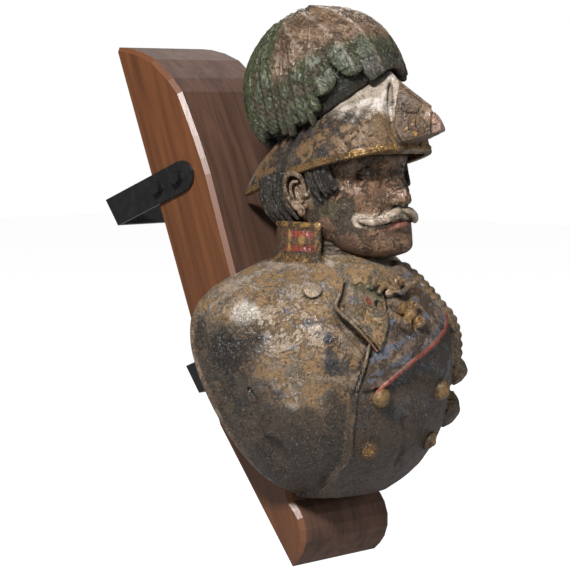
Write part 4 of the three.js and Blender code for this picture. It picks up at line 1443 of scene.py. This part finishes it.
def make_plume():
    parts = []
    # core under the feathers, marked as deep in a cut so that it is painted dark as shade
    rows, columns = 26, 96  # of the core's points
    turns = np.linspace(0, 2 * math.pi, columns, endpoint=False)
    core = []
    for i in range(rows + 1):
        fall = 0.04 + 0.94 * i / rows
        strand = 1.6 * np.cos(turns * 22 + 3 * fall)
        core.append(dome_point(turns, fall, -9 + strand * min(1, 2 * fall)))
    inner = dome_point(turns, 0.9, -34)
    core.append(inner)
    core.append(dome_point(turns, 0.72, -45))
    points = np.vstack(core)
    faces = tube_faces(len(core), columns, inside_out=True)
    parts.append((points, faces, np.full(len(points), 0.2), np.zeros(len(points))))

    deg = math.radians
    # strands that hang at the sides and back, closer and narrower than the feathers on top
    number = 30
    rng = np.random.default_rng(5)
    for k in range(number):
        turn = deg(62 + (298 - 62) * k / (number - 1))
        lean = 0.16 * math.sin(turn * 2) + rng.uniform(-0.05, 0.05)
        tip = 1.0 + rng.uniform(-0.05, 0.05)
        route = [
            (turn - lean * 0.5, 0.2), (turn, 0.42), (turn + lean, 0.66), (turn + lean * 0.8, 0.86),
            (turn + lean * 0.4, tip)
        ]
        parts.append(feather(
            route, 8.0 + rng.uniform(-1, 1.5), 9, 8.5, 40 + k, steps=50, across=12,
            lift=-7 + 4 * (k % 2)
        ))
    # broad feathers over the top, three to a side and one in front
    for s in (-1, 1):
        t = -s
        broad = [
            (
                [
                    (t * deg(140), 0.10), (t * deg(118), 0.30), (t * deg(100), 0.52),
                    (t * deg(88), 0.72), (t * deg(82), 0.9)
                ],
                25, 1
            ),
            (
                [
                    (t * deg(122), 0.10), (t * deg(92), 0.28), (t * deg(72), 0.48),
                    (t * deg(63), 0.66), (t * deg(60), 0.82)
                ],
                25, 2
            ),
            (
                [
                    (t * deg(100), 0.06), (t * deg(66), 0.24), (t * deg(46), 0.42),
                    (t * deg(38), 0.56), (t * deg(34), 0.68)
                ],
                24, 3
            ),
            (
                [
                    (t * deg(60), 0.04), (t * deg(30), 0.26), (t * deg(18), 0.45),
                    (t * deg(14), 0.62), (t * deg(12), 0.78)
                ],
                25, 4
            ),
            (
                [
                    (t * deg(172), 0.12), (t * deg(160), 0.34), (t * deg(150), 0.56),
                    (t * deg(144), 0.76), (t * deg(140), 0.94)
                ],
                22, 5
            ),
        ]
        for route, width, seed in broad:
            parts.append(feather(route, width, 8, 7.5, seed + (s > 0) * 10, lift=-6 + 1.3 * seed))
    points, faces, groove, quill = zip(*parts)
    starts = np.cumsum([0] + [len(part) for part in points[:-1]])
    faces = np.vstack([part + start for part, start in zip(faces, starts)])
    obj = mesh_of("plume_carving", np.vstack(points), faces)
    paint_plume(obj, np.concatenate(groove), np.concatenate(quill))
    return obj


def paint_plume(obj, groove, quill):
    p = corners_of(obj)
    x, f, u = p.T
    count = len(p)
    b, m, s = spots(p, (30, 12, 5), 81)
    over = blank(count, MOSS)
    under = blank(count, (0.075, 0.055, 0.028))
    # worn to bare brown wood over the crown and the front, green at the back and low down
    worn = smooth_step(-30, 10, f + 12 * b + 6 * m) * smooth_step(
        168, 196, u - 0.28 * (f - 40) + 10 * b + 6 * m
    )
    lay(over, (0.19, 0.115, 0.068), worn)
    lay(over, (0.30, 0.20, 0.13), worn * smooth_step(0.1, 0.6, s + m) * 0.8)
    lay(under, (0.11, 0.064, 0.036), worn)
    front = smooth_step(104, 122, f) * smooth_step(190, 165, u)
    lay(over, (0.055, 0.05, 0.042), front * 0.9)
    lay(
        over, (0.24, 0.23, 0.16),
        (1 - worn) * smooth_step(0.3, 0.7, s + 0.4 * m) * 0.5 * smooth_step(0.5, 0.9, groove)
    )
    lay(over, (0.42, 0.33, 0.25), quill * (0.25 + 0.5 * worn))
    # painted shade: dark in the cuts between the barbs, under the feathers and on the core, in both
    # layers
    lay(over, (0.012, 0.014, 0.008), smooth_step(0.75, 0.2, groove) * (0.9 - 0.35 * worn))
    lay(under, (0.012, 0.012, 0.008), smooth_step(0.7, 0.2, groove) * 0.8)
    # painted shade: darker on the lowest tips and core, next to the hat
    lay(over, (0.04, 0.035, 0.022), smooth_step(118, 96, u) * 0.5)
    # the shade value, highest in the cuts, adds more painted shade in the material
    store_paint(obj, over, under, 0.40 + 0.08 * b, smooth_step(0.6, 0.0, groove) * 0.8, 0 * x)


# ---------------------------------------------------------------- materials


class Nodes:
    """A short way to write a material's nodes."""

    def __init__(self, name):
        self.material = bpy.data.materials.new(name)
        self.material.use_nodes = True
        self.tree = self.material.node_tree
        self.tree.nodes.clear()
        self.shader = self.tree.nodes.new("ShaderNodeBsdfPrincipled")
        out = self.tree.nodes.new("ShaderNodeOutputMaterial")
        self.tree.links.new(self.shader.outputs[0], out.inputs[0])
        self.place = self.make("ShaderNodeTexCoord").outputs["Object"]

    def make(self, kind, inputs=None, **settings):
        node = self.tree.nodes.new(kind)
        for name, value in settings.items():
            setattr(node, name, value)
        for name, value in (inputs or {}).items():
            self.feed(node.inputs[name], value)
        return node

    def feed(self, socket, value):
        if isinstance(value, bpy.types.NodeSocket):
            self.tree.links.new(value, socket)
        elif isinstance(value, (tuple, list)) and socket.type == "RGBA":
            socket.default_value = (*value, 1)
        else:
            socket.default_value = value

    def sum(self, a, b, kind="ADD"):
        return self.make("ShaderNodeMath", {0: a, 1: b}, operation=kind).outputs[0]

    def noise(self, scale, detail=3.0, rough=0.55, place=None, bend=0.0):
        node = self.make(
            "ShaderNodeTexNoise",
            {
                "Vector": place or self.place, "Scale": scale, "Detail": detail, "Roughness": rough,
                "Distortion": bend
            },
        )
        return node.outputs["Fac"]

    def ramp(self, value, low, high, to_low=0.0, to_high=1.0):
        node = self.make(
            "ShaderNodeMapRange",
            {
                "Value": value, "From Min": low, "From Max": high, "To Min": to_low,
                "To Max": to_high
            },
            interpolation_type="SMOOTHSTEP",
        )
        return node.outputs[0]

    def mix(self, share, a, b, kind="MIX"):
        node = self.make("ShaderNodeMix", data_type="RGBA", blend_type=kind)
        self.feed(node.inputs[0], share)
        self.feed(node.inputs[6], a)
        self.feed(node.inputs[7], b)
        return node.outputs[2]

    def attribute(self, name):
        return self.make("ShaderNodeAttribute", attribute_name=name).outputs["Color"]

    def value_of(self, name):
        return self.make("ShaderNodeAttribute", attribute_name=name).outputs["Fac"]

    def bent_place(self, scale, amount):
        wave = self.make(
            "ShaderNodeTexNoise", {"Vector": self.place, "Scale": scale, "Detail": 2.0}
        )
        shift = self.make(
            "ShaderNodeVectorMath", {0: wave.outputs["Color"], 1: (0.5, 0.5, 0.5)},
            operation="SUBTRACT"
        )
        grow = self.make(
            "ShaderNodeVectorMath", {0: shift.outputs[0], "Scale": amount}, operation="SCALE"
        )
        return self.make(
            "ShaderNodeVectorMath", {0: self.place, 1: grow.outputs[0]}, operation="ADD"
        ).outputs[0]

    def bump(self, height, strength, distance, after=None):
        inputs = {"Height": height, "Strength": strength, "Distance": distance}
        if after is not None:
            inputs["Normal"] = after
        return self.make("ShaderNodeBump", inputs).outputs[0]

    def finish(self, colour, rough, normal=None, metal=0.0):
        self.feed(self.shader.inputs["Base Color"], colour)
        self.feed(self.shader.inputs["Roughness"], rough)
        self.feed(self.shader.inputs["Metallic"], metal)
        if normal is not None:
            self.feed(self.shader.inputs["Normal"], normal)
        return self.material


def flaking_paint(name, flake=1.0, crack=1.0):
    """Old paint in two layers over wood: the top one flakes off the lower, and both crack. The
    shade value darkens hollows as painted shade.
    """
    n = Nodes(name)
    over, under = n.attribute("over"), n.attribute("under")
    bare, shade, gilt = n.value_of("bare"), n.value_of("shade"), n.value_of("gilt")
    bent = n.bent_place(55.0, 0.022)
    patch = n.noise(38.0, 8.0, 0.68, bent)
    fleck = n.noise(150.0, 4.0, 0.6, bent)
    chip = n.sum(n.sum(patch, n.sum(fleck, 0.45, "MULTIPLY")), n.sum(bare, 0.9, "MULTIPLY"))
    gone = n.ramp(chip, 1.12, 1.17)
    cells = n.make(
        "ShaderNodeTexVoronoi", {"Vector": bent, "Scale": 150.0}, feature="DISTANCE_TO_EDGE"
    ).outputs["Distance"]
    thin = n.ramp(cells, 0.0, 0.07, 1.0, 0.0)
    where = n.ramp(n.noise(30.0, 4.0), 0.5, 0.62)
    cracks = n.sum(n.sum(thin, where, "MULTIPLY"), 0.65, "MULTIPLY")
    tone = n.make(
        "ShaderNodeTexVoronoi", {"Vector": bent, "Scale": 140.0}, feature="F1"
    ).outputs["Color"]
    tone_value = n.make("ShaderNodeSeparateColor", {0: tone}).outputs[0]
    top = n.mix(n.ramp(tone_value, 0.2, 0.95, 0.0, 0.45 * flake), over, n.mix(0.5, over, under))
    colour = n.mix(gone, top, under)
    deep = n.ramp(n.sum(chip, n.noise(210.0, 2.0), "ADD"), 1.86, 1.93)
    colour = n.mix(n.sum(deep, 0.85, "MULTIPLY"), colour, (0.02, 0.016, 0.013))
    streak = n.ramp(n.noise(300.0, 5.0, 0.75), 0.56, 0.66)
    colour = n.mix(n.sum(streak, 0.3, "MULTIPLY"), colour, (0.50, 0.43, 0.35))
    speck = n.ramp(n.noise(220.0, 5.0, 0.75, bent), 0.47, 0.38)
    colour = n.mix(n.sum(speck, 0.75, "MULTIPLY"), colour, (0.025, 0.02, 0.016))
    colour = n.mix(n.sum(cracks, 0.85 * crack, "MULTIPLY"), colour, (0.012, 0.01, 0.008))
    # painted shade: hollows, grooves and creases darkened by the shade value
    hollow_shade = n.ramp(shade, 0.25, 0.85)
    colour = n.mix(n.sum(hollow_shade, 0.85, "MULTIPLY"), colour, (0.014, 0.011, 0.008))
    edge = n.ramp(chip, 1.08, 1.2)
    height = n.sum(edge, -1.0, "MULTIPLY")
    height = n.sum(height, n.sum(cracks, -0.9 * crack, "MULTIPLY"))
    height = n.sum(height, n.sum(fleck, 1.2, "MULTIPLY"))
    normal = n.bump(height, 0.9, 0.0022)
    normal = n.bump(n.noise(420.0, 4.0), 0.5, 0.0008, normal)
    rough = n.ramp(n.sum(fleck, n.sum(gone, 0.25, "MULTIPLY")), 0.3, 0.9, 0.2, 0.5)
    metal = n.sum(gilt, 0.45, "MULTIPLY")
    return n.finish(colour, rough, normal, metal)


def varnished_pine():
    n = Nodes("varnished_pine")
    # grain runs along the board, which leans back
    lean = n.make(
        "ShaderNodeMapping", {"Vector": n.place, "Rotation": (math.atan(0.37), 0, 0)}
    ).outputs[0]
    long = n.make(
        "ShaderNodeVectorMath", {0: lean, 1: (26, 26, 1.2)}, operation="MULTIPLY"
    ).outputs[0]
    grain = n.noise(2.2, 5.0, 0.6, long, 0.6)
    fine = n.make(
        "ShaderNodeVectorMath", {0: lean, 1: (420, 420, 9)}, operation="MULTIPLY"
    ).outputs[0]
    fibre = n.noise(1.0, 3.0, 0.6, fine)
    side = n.mix(n.ramp(grain, 0.3, 0.7), (0.165, 0.062, 0.023), (0.095, 0.034, 0.013))
    side = n.mix(n.ramp(fibre, 0.35, 0.75, 0.0, 0.35), side, (0.09, 0.03, 0.012))
    parts = n.make("ShaderNodeSeparateXYZ", {0: n.make("ShaderNodeNewGeometry").outputs["Normal"]})
    across = n.sum(parts.outputs[0], 0.0, "ABSOLUTE")
    front = n.ramp(across, 0.4, 0.3)
    worn = n.mix(n.ramp(grain, 0.3, 0.7), (0.125, 0.060, 0.036), (0.062, 0.028, 0.017))
    saw = n.make("ShaderNodeVectorMath", {0: lean, 1: (5, 5, 260)}, operation="MULTIPLY").outputs[0]
    marks = n.noise(1.0, 2.0, 0.5, saw)
    worn = n.mix(n.ramp(marks, 0.5, 0.8, 0.0, 0.15), worn, (0.15, 0.085, 0.055))
    colour = n.mix(front, side, worn)
    edge = n.sum(n.ramp(across, 0.3, 0.4), n.ramp(across, 0.92, 0.85), "MULTIPLY")
    colour = n.mix(n.sum(edge, 0.9, "MULTIPLY"), colour, (0.15, 0.055, 0.022))
    normal = n.bump(n.sum(fibre, n.sum(grain, 0.6, "MULTIPLY")), 0.35, 0.0006)
    rough = n.ramp(front, 0.0, 1.0, 0.36, 0.7)
    return n.finish(colour, rough, normal)


def black_steel():
    n = Nodes("black_steel")
    colour = n.mix(
        n.ramp(n.noise(60.0, 4.0), 0.4, 0.8), (0.010, 0.010, 0.011), (0.022, 0.020, 0.019)
    )
    normal = n.bump(n.noise(500.0, 2.0), 0.12, 0.0003)
    n.shader.inputs["Specular IOR Level"].default_value = 0.45
    return n.finish(colour, 0.36, normal, 0.0)


def plain(name, colour, rough, glow):
    n = Nodes(name)
    n.shader.inputs["Emission Color"].default_value = (1, 1, 1, 1)
    seen = n.make("ShaderNodeLightPath").outputs["Is Camera Ray"]
    n.feed(n.shader.inputs["Emission Strength"], n.sum(seen, glow, "MULTIPLY"))
    return n.finish(colour, rough)


# ---------------------------------------------------------------- making the object

BUST_STEP, HEAD_STEP, HAT_STEP = 1.7, 1.15, 1.4
MOST_TRIANGLES = 190000


# How far a hand-carved surface sways in and out, mm, with the size and seed of each noise.
CARVER_SWAY = ((1.2, 52, 3), (0.7, 19, 4), (0.35, 8, 5))


def carved_piece(name, block, paint, in_head_frame, strength):
    points, quads = block.skin()
    obj = mesh_of(name, points, quads)
    p, n = corners_of(obj), normals_of(obj)
    sway = sum(share * Noise(size, seed)(*p.T) for share, size, seed in CARVER_SWAY)
    if not in_head_frame:
        sway *= smooth_step(-2, -14, p[:, 1] - BOARD_FRONT[0] - BOARD_FRONT[1] * p[:, 2])
    obj.data.vertices.foreach_set("co", (p + n * (strength * sway)[:, None]).ravel())
    thin_out(obj, MOST_TRIANGLES)
    paint(obj, block)
    p = corners_of(obj)
    if in_head_frame:
        p = from_head(*p.T)
    obj.data.vertices.foreach_set("co", to_frame(p).ravel())
    if in_head_frame:
        obj.data.flip_normals()
    obj.data.update()
    obj.data.materials.append(wood_paint)
    fit(obj, "figure")


wood_paint = flaking_paint("carved_paint")
plume_paint = flaking_paint("plume_paint", 0.7, 0.35)
pine = varnished_pine()
steel = black_steel()

carved_piece("bust_carving", carve_bust(BUST_STEP), paint_bust, False, 1.0)
carved_piece("head_carving", carve_head(HEAD_STEP), paint_head, True, 0.5)
carved_piece("hat_carving", carve_hat(HAT_STEP), paint_hat, True, 0.8)

plume = make_plume()
plume.data.vertices.foreach_set("co", to_frame(from_head(*corners_of(plume).T)).ravel())
plume.data.flip_normals()
plume.data.update()
plume.data.materials.append(plume_paint)
fit(plume, "plume")

for name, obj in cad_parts.items():
    if name in ("figure", "plume"):
        continue
    for slot in obj.material_slots:
        slot.material = pine if name == "stem_board" else steel

# ---------------------------------------------------------------- floor and light

FLOOR_Z = -0.62
floor_points = np.array(
    [(-9, -9, FLOOR_Z), (9, -9, FLOOR_Z), (9, 9, FLOOR_Z), (-9, 9, FLOOR_Z)], F32
)
floor = mesh_of("floor", floor_points, np.array([(0, 1, 2, 3)]), smooth=False)
floor.data.materials.append(plain("floor_white", (0.5, 0.5, 0.5), 1.0, 0.9))

BUST_MIDDLE = Vector((0, -0.37, -0.05))
AMBIENT = 0.13
# place, width in metres and power in watts of each lamp
LAMPS = {
    "key": ((-2.6, -1.5, 2.3), 0.6, 190),
    "fill": ((0.8, -3.2, 0.7), 1.6, 12),
    "rim": ((1.6, 0.8, 1.6), 1.0, 16),
}
for name, (place, size, power) in LAMPS.items():
    data = bpy.data.lights.new(name, "AREA")
    data.shape = "DISK"
    data.size = size
    data.energy = power
    lamp = bpy.data.objects.new(name, data)
    lamp.location = place
    lamp.rotation_mode = "QUATERNION"
    lamp.rotation_quaternion = (BUST_MIDDLE - Vector(place)).to_track_quat("-Z", "Y")
    bpy.context.scene.collection.objects.link(lamp)

world = bpy.data.worlds.new("studio")
world.use_nodes = True
background = world.node_tree.nodes["Background"]
background.inputs["Color"].default_value = (1, 1, 1, 1)
path = world.node_tree.nodes.new("ShaderNodeLightPath")
strength = world.node_tree.nodes.new("ShaderNodeMapRange")
strength.inputs["To Min"].default_value = AMBIENT
strength.inputs["To Max"].default_value = 1.0
world.node_tree.links.new(path.outputs["Is Camera Ray"], strength.inputs["Value"])
world.node_tree.links.new(strength.outputs[0], background.inputs["Strength"])
bpy.context.scene.world = world
bpy.context.scene.view_settings.view_transform = "Standard"
